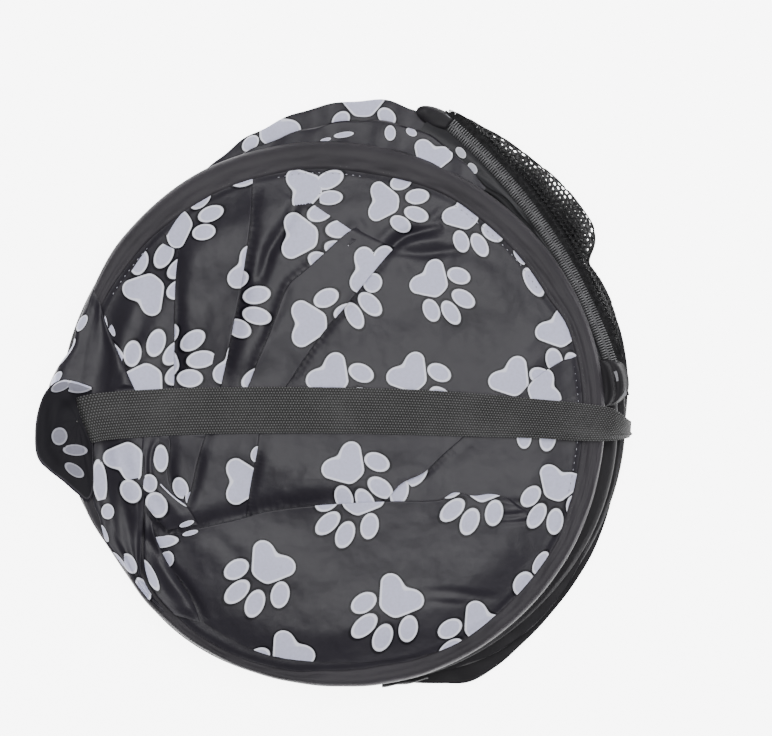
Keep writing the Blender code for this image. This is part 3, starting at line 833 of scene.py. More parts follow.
def spill(left, right, layer_lift, marks, folds, wide):
    """Cloth that falls over the hoop on the left. folds lists (number, size, phase) of the folds along it."""
    count = 120
    a, b = curve(left, count), curve(right, count)
    width = np.linalg.norm(b - a, axis=1)[:, None]
    tuck_in, tuck_down = np.array(TUCK).T
    level = np.zeros(wide)
    t = np.concatenate([np.zeros(len(TUCK)), np.linspace(0, 1, wide), np.ones(len(TUCK))])
    inward = np.concatenate([tuck_in, level, -tuck_in[::-1]])
    drop = np.concatenate([tuck_down, level, tuck_down[::-1]])
    p = a[:, None] + (b - a)[:, None] * (t + inward / width)[..., None]
    x, y = p[..., 0], p[..., 1]
    s = np.linspace(0, 1, count)[:, None]
    z = over_ring(x, y, sleeve_height(x, y, 5, 3.2))
    crown = 0.9 * (1 - np.exp(-t * width / 2.5)) * (1 - np.exp(-(1 - t) * width / 2.5))
    wave = sum(size * np.sin(number * math.pi * t + phase + 1.3 * s) for number, size, phase in folds)
    edges = np.clip(np.minimum(t, 1 - t) * 8, 0, 1)
    ends = 0.15 + 0.85 * smooth(np.minimum(s, 1 - s) * 7)
    z = z + (layer_lift + crown + wave * edges) * ends + drop
    z = np.minimum(z, strap_ceiling(x, y) + 0.1 * drop)
    SLEEVE.append((np.stack([x, y, z], axis=2), marks, False))


# Marks that lie across the free edge of a layer, so that the layer below shows them too.
UPPER_LEFT = [heart(-17.5, 113.5, 15, 0.95), toe(-3.0, 118.5, 25, 8.4, 4.8), toe(-2.5, 108.6, 5, 7, 4)]
MIDDLE = paw(-3.2, 11.2, 312)
LEFT = paw(-88.5, 92.5, 33, 0.9)
LOWER_RIGHT = paw(123.6, -47.8, 250, 0.93)


def upper_layers():
    """The pleats above the strap, from the bottom layer up."""
    base_layer([
        paw(52.4, 63.6, 316, 0.9), paw(40.6, 12.3, 309, 0.95), paw(96.7, 10, 309, 0.95),
        paw(122.6, 37, 308, 0.95), paw(70, 100.8, 312, 0.86), toe(109.6, 62.2, 122, 9, 4.2),
        toe(101.8, 76, 125, 5, 1.8), MIDDLE, (25.9, 106.4, 354, 0.86, 0.84, PAW), toe(19.5, 50, 135, 8, 4.8),
        toe(10.9, 43.7, 118, 7.9, 4.4), toe(21, 61.7, 60, 5.5, 5.0), toe(35.6, -53, 75, 8, 5),
        toe(44.9, -43.5, 50, 8, 5), toe(104.3, -23.5, 90, 6, 4), toe(117.4, -24.0, 80, 7, 4.5), LOWER_RIGHT,
        *UPPER_LEFT])
    flap([(x + 5, y - 4) for x, y in EDGE_THIRD],
         [(-92, -16), (-84, 5), (-78, 25), (-72, 45), (-68, 60), (-66, 75), (-64, 88), (-60, 100), (-54, 112),
          (-44, 122), (-30, 128)],
         1, 0.9, [paw(-20.5, 87.5, 355), *UPPER_LEFT, paw(-66, 50, 358), toe(-43.6, 9.3, 32, 8.4, 5),
                  toe(-31, 5.0, 15, 6, 3)],
         74, fade=([0, 0.9, 1], [1, 0.6, -2.5]))
    flap(EDGE_FOURTH, EDGE_THIRD, 2, 1.6,
         [heart(17.6, 68.4, 350), toe(26.6, 76.3, 50, 6.5, 5), paw(-15.5, 39.2, 1), MIDDLE],
         30, fade=([0, 0.75, 0.93, 1], [1, 0.75, 0.1, -3.0]), both=True)
    flap(EDGE_SECOND,
         [(-106, -16), (-100, 4), (-100, 25), (-100, 45), (-100, 58), (-98, 72), (-94, 84), (-86, 98),
          (-76, 107), (-60, 118)],
         3, 2.5, [LEFT, paw(-97, 16, 22), heart(-47.5, 69, 330), heart(-55, 16, 325),
                  toe(-50, 121, 200, 9, 6)],
         64)
    flap(EDGE_FIRST,
         [(-126, -18), (-135, 5), (-133, 20), (-127, 42), (-118, 58), (-108, 74), (-96, 90)],
         4, 3.4, [paw(-104.1, 55.6, 50), toe(-94.9, 74.6, 78, 6.8, 5.2), toe(-106.5, 69.5, 60, 6.0, 4.9),
                  LEFT, paw(-104.6, 6, 59), toe(-120.4, 20.3, 123, 11, 5), toe(-127.4, 38.6, 98, 7, 2.4),
                  toe(-122.6, 36, 115, 4, 1.4)],
         60, fade=([0, 0.85, 1], [1, 0.9, 0.4]))
    flap(EDGE_RIGHT, [(136, 2), (130, -1), (124, -3), (116, -8), (108, -12), (100, -16)],
         1, 1.0, [heart(116, 3.2, 200, 0.85)], 24, fade=([0, 0.15, 0.8, 1], [0.4, 1, 1, 0.3]), count=70)


def lower_layers():
    """The pleats and the hem below the strap, from the bottom layer up."""
    flap(EDGE_LOWER_D,
         [(-44, -10), (-48, -20), (-50, -30), (-52, -40), (-53, -50), (-54, -60), (-56, -70), (-57, -80)],
         1, 0.9, [paw(5.5, -37.8, 312)], 84)
    flap(EDGE_LOWER_C, [(-76, -10), (-80, -21), (-84, -32), (-86, -48), (-90, -66), (-92, -80)],
         2, 1.7, [heart(-51.5, -47.5, 0), toe(-42.4, -32.4, 70, 4.5, 3.4)], 50)
    flap(EDGE_LOWER_B, [(-96, -12), (-98, -22), (-98, -36), (-99, -49), (-99, -60), (-98, -70)],
         3, 2.5, [toe(-84.4, -51.0, 110, 6, 4.2), toe(-79.3, -57, 100, 5, 2.2)], 36)
    flap(EDGE_LOWER_A, [(-112, -14), (-112, -24), (-112, -32), (-110, -42), (-108, -52), (-104, -62)],
         4, 2.9, [toe(-95.1, -34.7, 92, 7.4, 4.0)], 30)
    flap(EDGE_HEM,
         [(-103.4, -79.4), (-98, -85.5), (-89.9, -95.7), (-81.4, -106.2), (-75, -117), (-70.6, -126),
          (-40, -142), (-6, -147), (30, -146), (64, -139), (94, -121), (117, -98), (134, -70)],
         4, 2.5, [paw(-34.6, -91.8, 234, 1.03), paw(35.6, -110.3, 234, 1.05), paw(82, -125, 234),
                  paw(-23.6, -141, 234), paw(14.6, -54.7, 234), paw(83, -47.5, 234),
                  toe(104, -104, 62, 7, 5.4), toe(113.5, -92.5, 60, 7, 3.5), toe(-95, -80.6, 8, 9.5, 3.4),
                  toe(-92, -90.2, 80, 4.6, 3.8), LOWER_RIGHT, toe(-79.0, -75.6, 15, 4.4, 1.3)],
         96, fade=([0, 0.08, 0.3, 0.62, 0.82, 0.95, 1], [0.6, 1.25, 1.15, 0.8, 0.45, 0.05, -1.5]), count=300)


def spills():
    """Cloth over the hoop: three layers at the lower left, then the dark shoulder above the mouth."""
    spill([(-104, -64), (-104.5, -76), (-105, -88), (-103, -100), (-98, -110), (-88, -121)],
          [(-100, -70), (-97.5, -80), (-92, -92), (-84, -104), (-78, -114), (-74, -125)],
          0.5, [toe(-101.3, -99, 117, 9.5, 2.7)], [(2, 0.5, 2.0)], 30)
    spill([(-106, -22), (-106, -34), (-106, -46), (-105.5, -56), (-101, -64), (-92, -74)],
          [(-94, -22), (-98.6, -32), (-98, -44), (-89.5, -54), (-80.4, -61.5), (-75, -71)],
          0.9, [toe(-101.2, -48.3, 100, 5, 4.2), toe(-97.5, -60.2, 112, 7.2, 6),
                toe(-89.6, -52.8, 137, 12, 1.5), toe(-81.0, -70.6, 20, 4.2, 1.4)], [(3, 0.35, 0.4)], 34)
    spill([(-132.6, -24), (-133.4, -43), (-132.5, -59), (-129.3, -67), (-125.6, -80.5), (-120.4, -88),
           (-113.6, -97), (-107, -106), (-100.6, -114), (-94, -120)],
          [(-105.6, -20), (-104, -34), (-103.8, -50), (-104.6, -62), (-105.3, -72), (-106, -82),
           (-106.6, -91), (-106, -99), (-101, -109), (-94, -117)],
          1.3, [toe(-129, -47.3, 95, 12, 3.8), toe(-124.6, -64, 95, 4.2, 3.4), heart(-115, -36.5, 55, 0.95),
                toe(-111.7, -52.7, 125, 6.8, 5.6), toe(-112.5, -92.5, 118, 6, 3.4),
                toe(-118.2, -92.2, 124, 7, 2.2), toe(-105, -106.5, 118, 7, 3), toe(-126.2, -76, 112, 5, 1.3)],
          [(2, 0.55, 2.6), (5, 0.4, 0.6)], 60)
    spill([(-132.5, 58), (-136.5, 48), (-141.5, 38), (-144, 27), (-151, 17), (-157.4, 6), (-159.5, -4)],
          [(-128.5, 50), (-126.5, 42), (-123, 33), (-118, 22), (-112.5, 10), (-108, 0), (-104, -10)],
          1.6, [toe(-138.6, 39.5, 60, 5, 2.2), toe(-147.5, 23.5, 55, 9, 2.0), toe(-153, 9, 50, 5, 2)],
          [(2, 0.7, 0.6), (4, 0.3, 1.4)], 44)


def gathered_sleeve():
    """The near end's sleeve, as one mesh of all its layers."""
    upper_layers()
    lower_layers()
    spills()
    points, faces, cloth, prints, start = [], [], [], [], 0
    for grid, marks, closed in SLEEVE:
        uvs = flat_uvs(grid, marks, wrap_rows=closed)
        points.append(grid.reshape(-1, 3))
        faces.append(grid_faces(*grid.shape[:2], wrap_rows=closed, start=start))
        cloth.append(uvs["cloth"])
        prints.append(uvs["print"])
        start += len(points[-1])
    obj = mesh_object("gathered_sleeve", np.vstack(points), np.vstack(faces), PRINT,
                      {"cloth": np.vstack(cloth), "print": np.vstack(prints)})
    describe(obj, "top_hoop", "printed_fabric", "end_sleeve_top",
             flat=(0.16, 0.94), held="gathered", rests_on=["casing_5"])


# The pocket at the sleeve's gathered end: the line of its rim, the middle of its floor, and a point that
# its outside leans away from.
MOUTH_RIM = [
    (-133, 4.5, 46.0), (-142, 7.5, 47.6), (-150.5, 8, 47.4), (-158, 2.5, 46.0), (-162.6, -8, 44.2),
    (-164.6, -22, 43.2), (-163.4, -34, 42.4), (-157, -41.6, 42.2), (-149, -47.6, 42.4), (-141.5, -54, 42.4),
    (-135.6, -58.6, 42.0), (-132.6, -52, 42.4), (-132.4, -40, 42.8), (-132.8, -26, 43.0), (-133.4, -10, 42.6),
    (-133, 4.5, 46.0)]
MOUTH_FLOOR = np.array((-141.0, -14.0))
MOUTH_MIDDLE = np.array((-148.5, -21.0))


def mouth_wall(rim, t, rings):
    """The pocket's outside, from its low edge up to the rim. It hangs free where it is past the hoop."""
    hangs = smooth((-rim_gap(rim[:, 0], rim[:, 1]) - 13.0) / 6.0)
    out = rim[:, :2] - MOUTH_MIDDLE
    out = out / np.linalg.norm(out, axis=1)[:, None]
    low = 40.6 * (1 - hangs) + (10.0 + 2.0 * np.sin(CIRCLE * 4 * t)) * hangs
    wall = []
    for k in np.linspace(0, 1, rings):
        at_rim = k == 1.0
        folds = np.sin(CIRCLE * 8 * t + 2.2 * np.sin(CIRCLE * 2 * t) + 1.4 * k)
        sag = 0.9 * math.sin(7 * k + 0.6) * (1 - k)
        push = -4.2 * (1 - k) ** 2.5 + sag + 1.9 * folds * (1 - k) ** 0.8 - (0.3 if at_rim else 0.0)
        xy = rim[:, :2] + out * (push * hangs)[:, None]
        wall.append(np.column_stack([xy, low + (rim[:, 2] - low) * k + (0.35 if at_rim else 0.0)]))
    return wall


def mouth_lining(rim, t):
    """The pocket's inside, from the rim down to its floor, with a tongue of cloth that stands up in it."""
    pleat = 0.3 * np.sin(CIRCLE * 9 * t + 2 * np.sin(CIRCLE * 2 * t))
    lining = []
    for k in (0.05, 0.13, 0.24, 0.37, 0.5, 0.63, 0.76, 0.88, 0.97):
        xy = rim[:, :2] * (1 - k) + MOUTH_FLOOR * k
        gap = rim_gap(xy[:, 0], xy[:, 1])
        strap_end = -137.6 - 0.344 * (xy[:, 1] + 13.9)
        floor = 40.2 + 1.9 * smooth((strap_end - xy[:, 0]) / 1.6) - 6.0 * smooth((-gap - 17.0) / 5.0)
        tongue = 2.6 * np.exp(-((k - 0.42) / 0.12) ** 2) * smooth((-142.0 - rim[:, 0]) / 12.0)
        z = rim[:, 2] + (floor - rim[:, 2]) * smooth(k / 0.75) + tongue + pleat * math.sin(math.pi * k)
        lining.append(np.column_stack([xy, np.maximum(z, floor)]))
    return lining


def sleeve_mouth():
    """The sleeve's gathered end: a limp open pocket that leans on the hoop and hangs down outside it."""
    rim = curve(MOUTH_RIM, 170)[:-1]
    t = np.linspace(0, 1, len(rim), endpoint=False)
    wall_rings = 15
    grid = np.stack(mouth_wall(rim, t, wall_rings) + mouth_lining(rim, t), axis=1)
    rows, cols = grid.shape[:2]
    faces = grid_faces(rows, cols, wrap_rows=True).reshape(rows, cols - 1, 4)
    outside = faces[:, :wall_rings - 1].reshape(-1, 4)
    inside = faces[:, wall_rings - 1:].reshape(-1, 4)
    xy = grid.reshape(-1, 3)[:, :2]
    along = np.concatenate([[0], np.cumsum(np.linalg.norm(np.diff(rim[:, :2], axis=0), axis=1))])
    unrolled = np.column_stack([np.repeat(along, cols), grid[..., 2].ravel()])
    wall_marks = [paw(44, 22, 70, 0.8), paw(84, 33, 250, 0.8), heart(22, 42, 200, 0.8), toe(62, 43, 20, 5, 3)]
    inner_marks = [toe(-139.5, 5.2, 5, 8, 4.0), toe(-149.5, 5.0, 25, 6, 2.6),
                   toe(-150.9, -22.6, 90, 4.8, 4.2), toe(-142.2, -30.2, 176, 6.6, 3.0),
                   toe(-142.8, -41.2, 146, 6.0, 3.0)]
    uvs = {"cloth": np.vstack([unrolled[outside].reshape(-1, 2), xy[inside].reshape(-1, 2)]) * 0.01,
           "print": np.vstack([paw_uv(unrolled, outside, wall_marks), paw_uv(xy, inside, inner_marks)])}
    obj = mesh_object("sleeve_pocket", grid.reshape(-1, 3), np.vstack([outside, inside]), PRINT, uvs)
    obj.data.materials.append(REVERSE_AND_SHADE)
    # The lining shows the cloth's reverse, with painted shade in its colour, apart from its first ring below
    # the rim.
    shaded_reverse = np.ones((rows, cols - wall_rings), int)
    shaded_reverse[:, 0] = 0
    shaded_reverse = np.concatenate([np.zeros(len(outside), int), shaded_reverse.ravel()])
    obj.data.polygons.foreach_set("material_index", shaded_reverse.tolist())
    describe(obj, "top_hoop", "printed_fabric", "sleeve_mouth",
             flat=(0.045, 0.13), held="gathered", rests_on=["casing_5"])


def bottom_sleeve():
    """The far end's sleeve, folded in flat under the stack in small radial pleats."""
    theta = around(500)
    outer, inner, rings = 134.2, 97.0, 26
    saw = (theta * 34 / CIRCLE + 0.12 * np.sin(theta * 5)) % 1.0
    pleat = np.minimum(saw / 0.82, (1 - saw) / 0.18)
    rows = []
    for k, r in zip(np.linspace(0, 1, rings), np.linspace(outer, inner, rings)):
        wavy = r + 0.8 * np.sin(theta * 9) * k
        rows.append(polar(CENTRES[0], wavy, theta, 1.5 + 1.3 * pleat * (0.25 + 0.75 * k)))
    grid = np.stack(rows, axis=1)
    uvs = flat_uvs(grid, lattice(-140, 160, -160, 140), wrap_rows=True)
    obj = grid_object("far_sleeve", grid, PRINT, uvs, wrap_rows=True)
    describe(obj, "bottom_hoop", "printed_fabric", "end_sleeve_bottom",
             flat=(0.04, 0.94), held="folded", rests_on=["casing_1"])


# ---------------------------------------------------------------- cloth and net pushed out between hoops

# The rows that tuck a pushed-out panel in under its hoop: how far in and how far down each lies.
TUCKED_IN = [(3, 1.2), (1.6, 0.7), (0.5, 0.2)]


def cloth_bulge(name, outline, root, low, high, reaches, marks, mat, crumple):
    """A panel of the wall pushed out past the hoops, as a pleat for each of its reaches. outline lists
    (angle, radius), root is the radius that it comes out from, and a reach is a share of the outline."""
    count, per_pass = 150, 11
    angle, reach = curve(outline, count).T
    theta = np.radians(angle)
    passes = len(reaches)
    u = np.linspace(0, 1, passes * per_pass + 1)
    swing = 0.5 - 0.5 * np.cos(u * passes * math.pi)
    rows = [polar(TOP, root - inward, theta, high - down) for inward, down in TUCKED_IN]
    for t, out, level in zip(u, swing, pass_level(u)):
        leg = min(int(t * passes), passes - 1)
        back = root + (reach - root) * (0.0 if leg == 0 else 0.22 + 0.05 * math.sin(9 * t))
        r = back + (root + (reach - root) * reaches[leg] - back) * out
        r = r + 0.5 * crumple * np.sin(theta * 40 + 8 * t) * out
        wave = 0.7 * np.sin(theta * 23 + 3 * t) + 0.5 * np.sin(theta * 51)
        z = high - (high - low) * level + wave * math.sin(math.pi * min(t * 3 + 0.1, 1))
        rows.append(polar(TOP, r, theta, z))
    grid = np.stack(rows, axis=1)
    return grid_object(name, grid, mat, flat_uvs(grid, marks))


def bulges():
    outline = [(121, 150.2), (117, 153.4), (112, 157.6), (107, 161.6), (100, 166.4), (95, 170.0), (90, 172.8),
               (81, 176.8), (76, 175.8), (71, 173.2), (67.5, 168.0)]
    marks = [heart(-32, 148.5, 240), toe(-47, 139.6, 225, 5.5, 3.6), toe(-23, 145.0, 245, 3.2, 2.4),
             (15.5, 162.5, 270, 0.95, 0.72, PAW)]
    reaches = (1.0, 0.97, 0.95, 0.9, 0.9)
    obj = cloth_bulge("outer_fold", outline, 146.5, 17.6, 30.4, reaches, marks, PRINT, 1.0)
    describe(obj, "hoop_4", "printed_fabric", "wall_fold_outer",
             flat=(0.080, 0.19), held="folded", rests_on=["casing_3"])
    outline = [(116, 150.6), (108, 153.0), (98, 157.4), (90, 161.4), (82, 164.6), (74, 164.6), (68, 161.8),
               (62, 156.4), (56, 151.6)]
    marks = [heart(53.8, 132.4, 250, 0.85), toe(42.3, 145.1, 150, 3.2, 2.0), toe(30.6, 144.5, 270, 4.2, 3.0),
             toe(5, 143.6, 188, 5.5, 1.5), toe(-5, 140.8, 196, 3, 1.0)]
    obj = cloth_bulge("inner_fold", outline, 146.5, 31.0, 37.6, (1.0, 0.93, 0.93), marks, PRINT, 1.0)
    describe(obj, "hoop_4", "printed_fabric", "wall_fold_inner",
             flat=(0.045, 0.16), held="folded", rests_on=["casing_4"])
    outline = [(275, 148.4), (279.6, 151.6), (281.4, 155.2), (284.5, 156.2), (287, 158.6), (292, 164.0),
               (297, 169.6), (303, 169.4), (310, 167.6), (320, 166.2), (332, 165.6), (342, 164.0),
               (351, 162.2), (358, 164.2), (368, 167.4), (378, 168.4), (388, 166.0), (396, 160.0)]
    obj = cloth_bulge("lower_fold", outline, 150.0, 3.4, 11.6, (1.0, 0.985, 0.97), [], PLAIN, 0.12)
    describe(obj, "hoop_2", "printed_fabric", flat=(0.055, 0.33), held="folded", rests_on=["casing_1"])
    outline = [(284, 149.6), (289, 154.0), (296, 158.0), (304, 161.8), (314, 163.4), (324, 162.8),
               (333, 160.4), (340, 159.6), (346, 157.0)]
    obj = cloth_bulge("middle_fold", outline, 148.0, 11.6, 19.4, (1.0, 0.98, 0.96), [], PLAIN, 0.12)
    describe(obj, "hoop_3", "printed_fabric", flat=(0.04, 0.17), held="folded", rests_on=["casing_2"])


# The net's outer line as (angle, radius) round the zipper's centre, and the radius that it comes out from.
NET_LINE = curve([(18.6, 308.6), (21.0, 311.0), (23.6, 314.2), (27.5, 314.4), (29.1, 313.4), (30.3, 320.4),
                  (31.6, 325.0), (33.4, 326.2), (37.5, 324.4), (41.0, 320.4), (44.7, 316.2), (46.4, 313.4),
                  (48.7, 310.4), (50.4, 308.2)], 240)
NET_ROOT = 304.4


def net_room(phi):
    """How far the net reaches out from its root."""
    return np.interp(np.degrees(phi), NET_LINE[:, 0], NET_LINE[:, 1]) - NET_ROOT


def net_lining():
    """The wall's dark cloth that shows through the net beside the zipper."""
    phi = np.radians(np.linspace(18.8, 50.2, 130))[:, None]
    tucked = 2.0
    reach = np.clip(net_room(phi) - 4.6 - 1.2 * np.sin(phi * 47), 1.6, 14.5)
    t = np.linspace(0, 1, 20)
    z = 21.6 + 1.2 * np.sin(phi * 33) * t + 0.8 * np.sin(9 * t + 20 * phi) - 2.5 * t ** 5
    grid = polar(ZIP_C, NET_ROOT - tucked + (reach + tucked) * t, phi, z)
    obj = grid_object("net_lining", grid, DARK, flat_uvs(grid))
    describe(obj, "hoop_4", "printed_fabric", flat=(0.016, 0.172), held="laid", rests_on=["casing_3"])


# One mesh of the net, in shares of its spacing, and how far out each layer of net reaches.
HEXAGON = [(0.5, 0), (0.5, 2 / 3), (0, 1), (-0.5, 2 / 3), (-0.5, 0), (0, -1 / 3)]
NET_LAYERS = (1.0, 0.985, 0.94, 0.86, 0.74)
NET_CELL = 3.5
NET_THREAD = 1.2
NET_FIRST, NET_LAST = math.radians(18.9), math.radians(50.4)


def net_point(along, out, row, layer):
    """Where a corner of the net lies, as angle, radius and height, and how far past the outline it was."""
    phi = NET_FIRST + along * NET_CELL * 0.87 / 313.0 + 0.0007 * math.sin(row + 2.1 * layer)
    room = net_room(phi) * NET_LAYERS[layer]
    reach = (out - 1.3) * NET_CELL * 0.78
    past = max(0.0, reach - room)
    reach = min(reach, room)
    near = reach / max(room, 1.0)
    z = 29.6 - 2.0 * layer + 0.9 * math.sin(phi * 61 + layer) * near
    z = z + 1.1 * math.sin(math.pi * min(near * 1.1, 1.0)) - 1.3 * near ** 6 - 0.25 * min(past, 3.0)
    clear = smooth((NET_ROOT + reach - SLIDER_REACH) / 3.5)
    return phi, NET_ROOT + reach, TAPE_Z * (1 - clear) + z * clear, past


def net_window():
    """Knitted net that bulges out past the zipper: a honeycomb of thread, five layers deep. It lies flat in
    the tape's plane where the slider passes."""
    verts, faces = [], []
    for layer in range(len(NET_LAYERS)):
        places = {}
        for row in range(1, 12):
            for k in range(64):
                corners = [(k + 0.5 * (row % 2) + a, row + 0.33 * layer + b) for a, b in HEXAGON]
                loop = [net_point(along, out, row, layer) for along, out in corners]
                if sum(past > 0 for _, _, _, past in loop) > 4 or max(point[0] for point in loop) > NET_LAST:
                    continue
                face = []
                for (along, out), (phi, r, z, _) in zip(corners, loop):
                    key = (round(along * 2), round(out * 3))
                    if key not in places:
                        places[key] = len(verts)
                        verts.append(polar(ZIP_C, r, phi, z))
                    face.append(places[key])
                faces.append(face)
    obj = mesh_object("net_window", np.array(verts), faces, NET, smooth_shade=False)
    threads = obj.modifiers.new("threads", "WIREFRAME")
    threads.thickness = NET_THREAD * MM
    threads.use_even_offset = False
    bpy.context.view_layer.objects.active = obj
    obj.select_set(True)
    bpy.ops.object.modifier_apply(modifier="threads")
    obj.select_set(False)
    describe(obj, "hoop_4", "net", "mesh_window")


# ---------------------------------------------------------------- zipper

def zip_point(phi, radial, z):
    return polar(ZIP_C, ZIP_R + radial, phi, z)


def tape(name, side, node):
    """Woven tape from the coil's middle outwards, as a thin closed section."""
    phi = np.radians(np.linspace(14.9, 50.6, 240))
    edge = 4.4 if side < 0 else 4.6
    section = [(0.6, 28.5), (0.6, 29.05), (2.4, 29.1), (edge, 29.25), (edge, 28.6), (2.4, 28.4), (0.6, 28.5)]
    grid = np.stack([zip_point(phi, side * r, z + 0.06 * np.sin(phi * 300)) for r, z in section], axis=1)
    obj = grid_object(name, grid, TAPE, {"cloth": strip_uv(grid, 188, 12)})
    describe(obj, "hoop_4", "zipper_tape", node)


# One turn of the coil, from its root on the tape to its tip, as (place from the zipper's middle, height).
COIL_TURN = [(3.3, 29.35), (3.2, 30.0), (2.6, 30.5), (1.2, 30.62), (-0.1, 30.5), (-0.55, 30.0), (-0.3, 29.5)]
COIL_PITCH = 1.4


def coil(name, side, node):
    """The coil's turns: each is a loop of monofilament that reaches over the tape to the middle."""
    pitch = COIL_PITCH / ZIP_R
    first, last = math.radians(15.9), math.radians(49.4)
    ring = around(8)
    end = len(COIL_TURN) - 1
    verts, faces = [], []
    for k in range(int((last - first) / pitch)):
        turn = first + (k + (0.5 if side > 0 else 0.0)) * pitch
        start = k * len(COIL_TURN) * len(ring)
        faces.append(grid_faces(len(COIL_TURN), len(ring), wrap_cols=True, start=start))
        for n, (r, z) in enumerate(COIL_TURN):
            lean = (n / end - 0.5) * 0.3 / ZIP_R
            thick = 0.47 if n < 4 else 0.42
            ahead = np.array(COIL_TURN[min(n + 1, end)]) - np.array(COIL_TURN[max(n - 1, 0)])
            ahead = ahead / np.linalg.norm(ahead)
            dr, dz = -ahead[1] * np.cos(ring) * thick, ahead[0] * np.cos(ring) * thick
            verts.append(zip_point(turn + lean + np.sin(ring) * thick / ZIP_R, side * (r + dr), z + dz))
    obj = mesh_object(name, np.vstack(verts), np.vstack(faces), NYLON)
    describe(obj, "hoop_4", "nylon_coil", node)


def surround_reach(phi):
    """Radius from the zipper's centre at which the fourth hoop's outer edge lies."""
    edge = 149.0
    off = np.array(CENTRES[3]) - ZIP_C
    dist, toward = np.hypot(*off), math.atan2(off[1], off[0])
    turn = phi - toward
    return dist * np.cos(turn) + np.sqrt(edge ** 2 - (dist * np.sin(turn)) ** 2)


def facing():
    """Plain cloth between the fourth hoop and the zipper, puckered by the stitching."""
    phi = np.radians(np.linspace(17.0, 51.4, 190))[:, None]
    stop = ZIP_R - 3.9
    reach = np.minimum(surround_reach(phi), stop - 3.0)
    t = np.linspace(0, 1, 26)
    room = smooth((stop - reach) / 8.0)
    wave = 0.7 * np.sin(phi * 38) * np.sin(math.pi * t) + 0.45 * np.sin(11 * t + phi * 14)
    z = 29.6 + (wave + 1.0 * np.sin(math.pi * t)) * room
    grid = polar(ZIP_C, reach + (stop - reach) * t, phi, z)
    marks = [toe(69.8, 134.2, 130, 3.6, 2.2), toe(76.3, 125.6, 128, 3.4, 2.0), toe(93, 107.6, 132, 2.2, 0.8)]
    obj = grid_object("zipper_surround", grid, DARKPRINT, flat_uvs(grid, marks))
    describe(obj, "hoop_4", "casing_fabric", "zipper_facing",
             flat=(0.016, 0.18), held="laid", rests_on=["casing_4"], area=0.00160)


def seam_allowance():
    """The raw edge of the zipper's seam, which stands up and twists between the hoop and the tape."""
    phi = np.radians(np.linspace(24.0, 50.6, 240))
    reach = np.minimum(surround_reach(phi), ZIP_R - 9.0)
    share = 0.46 + 0.10 * np.sin(phi * 31) + 0.05 * np.sin(phi * 83)
    middle = reach + (ZIP_R - 4.4 - reach) * share
    lean = 0.9 * np.sin(phi * 57 + 2 * np.sin(phi * 19))
    section = [(1.5, 0.2), (1.2, 0.9), (0.7, 1.7), (0.0, 2.3), (-0.8, 2.6), (-1.7, 2.5), (-2.5, 2.1),
               (-3.0, 1.5)]
    rows = []
    for k, (out, up) in enumerate(section):
        r = middle + out * (1 + 0.25 * lean) + lean * k / 7 * 0.6
        rows.append(polar(ZIP_C, r, phi, 30.2 + up + 0.3 * lean))
    grid = np.stack(rows, axis=1)
    obj = grid_object("zipper_seam_edge", grid, DARK, {"cloth": strip_uv(grid, 143, 7)})
    describe(obj, "hoop_4", "casing_fabric",
             flat=(0.010, 0.145), area=0.00095, held="folded", rests_on=["zipper_surround"])


def slider_hood():
    """Spare cloth of the wall that lies over the zipper's closed end and its slider."""
    theta = np.radians(np.linspace(1.6, 11.8, 90))[:, None]
    t = np.linspace(0, 1, 40)
    inner = 147.6
    line = curve([(1.6, 150.4), (2.3, 158.0), (4.4, 163.8), (7.4, 165.0), (9.8, 163.4), (11.2, 158.4),
                  (11.8, 150.4)], 140)
    outer = np.interp(np.degrees(theta), line[:, 0], line[:, 1])
    ends = np.sin(np.linspace(0, 1, len(theta)) * math.pi)[:, None] ** 0.5
    fold = 1.1 * np.sin(t * 17 + 1.2 * np.sin(theta * 7)) * np.sin(math.pi * t) ** 0.5
    z = 31.8 + ends * (4.6 * smooth(t * 4.0) + fold) - 6.0 * t ** 4
    grid = polar(TOP, inner + (outer - inner) * t, theta, z)
    obj = grid_object("slider_hood", grid, PLAIN, flat_uvs(grid))
    describe(obj, "hoop_4", "casing_fabric", flat=(0.022, 0.029), held="laid", rests_on=["casing_4"])


def zipper_end_tab():
    """A rounded end of plain cloth sewn over the zipper's upper end."""
    t = np.linspace(0, 1, 36)
    s = np.linspace(0, 1, 44)[:, None]
    round_end = np.sqrt(np.clip(1 - (np.clip(s - 0.35, 0, 1) / 0.65) ** 2, 0.0, 1))
    half = 5.6 * round_end * (0.72 + 0.28 * smooth(s / 0.35))
    r = ZIP_R - 0.4 - 4.2 * s + half * (2 * t - 1)
    crown = 2.6 * (1 - (2 * t - 1) ** 4) * smooth((1 - s) * 3.0) * smooth((s + 0.04) * 9.0)
    grid = polar(ZIP_C, r, np.radians(49.3 + 3.8 * s), 29.0 + crown + 0.2 * np.sin(t * 9 + 6 * s))
    obj = grid_object("zipper_end_tab", grid, PLAIN, flat_uvs(grid))
    describe(obj, "hoop_4", "casing_fabric",
             flat=(0.012, 0.020), held="laid", rests_on=["zipper_surround"], area=0.00020)


# ---------------------------------------------------------------- strap and small parts

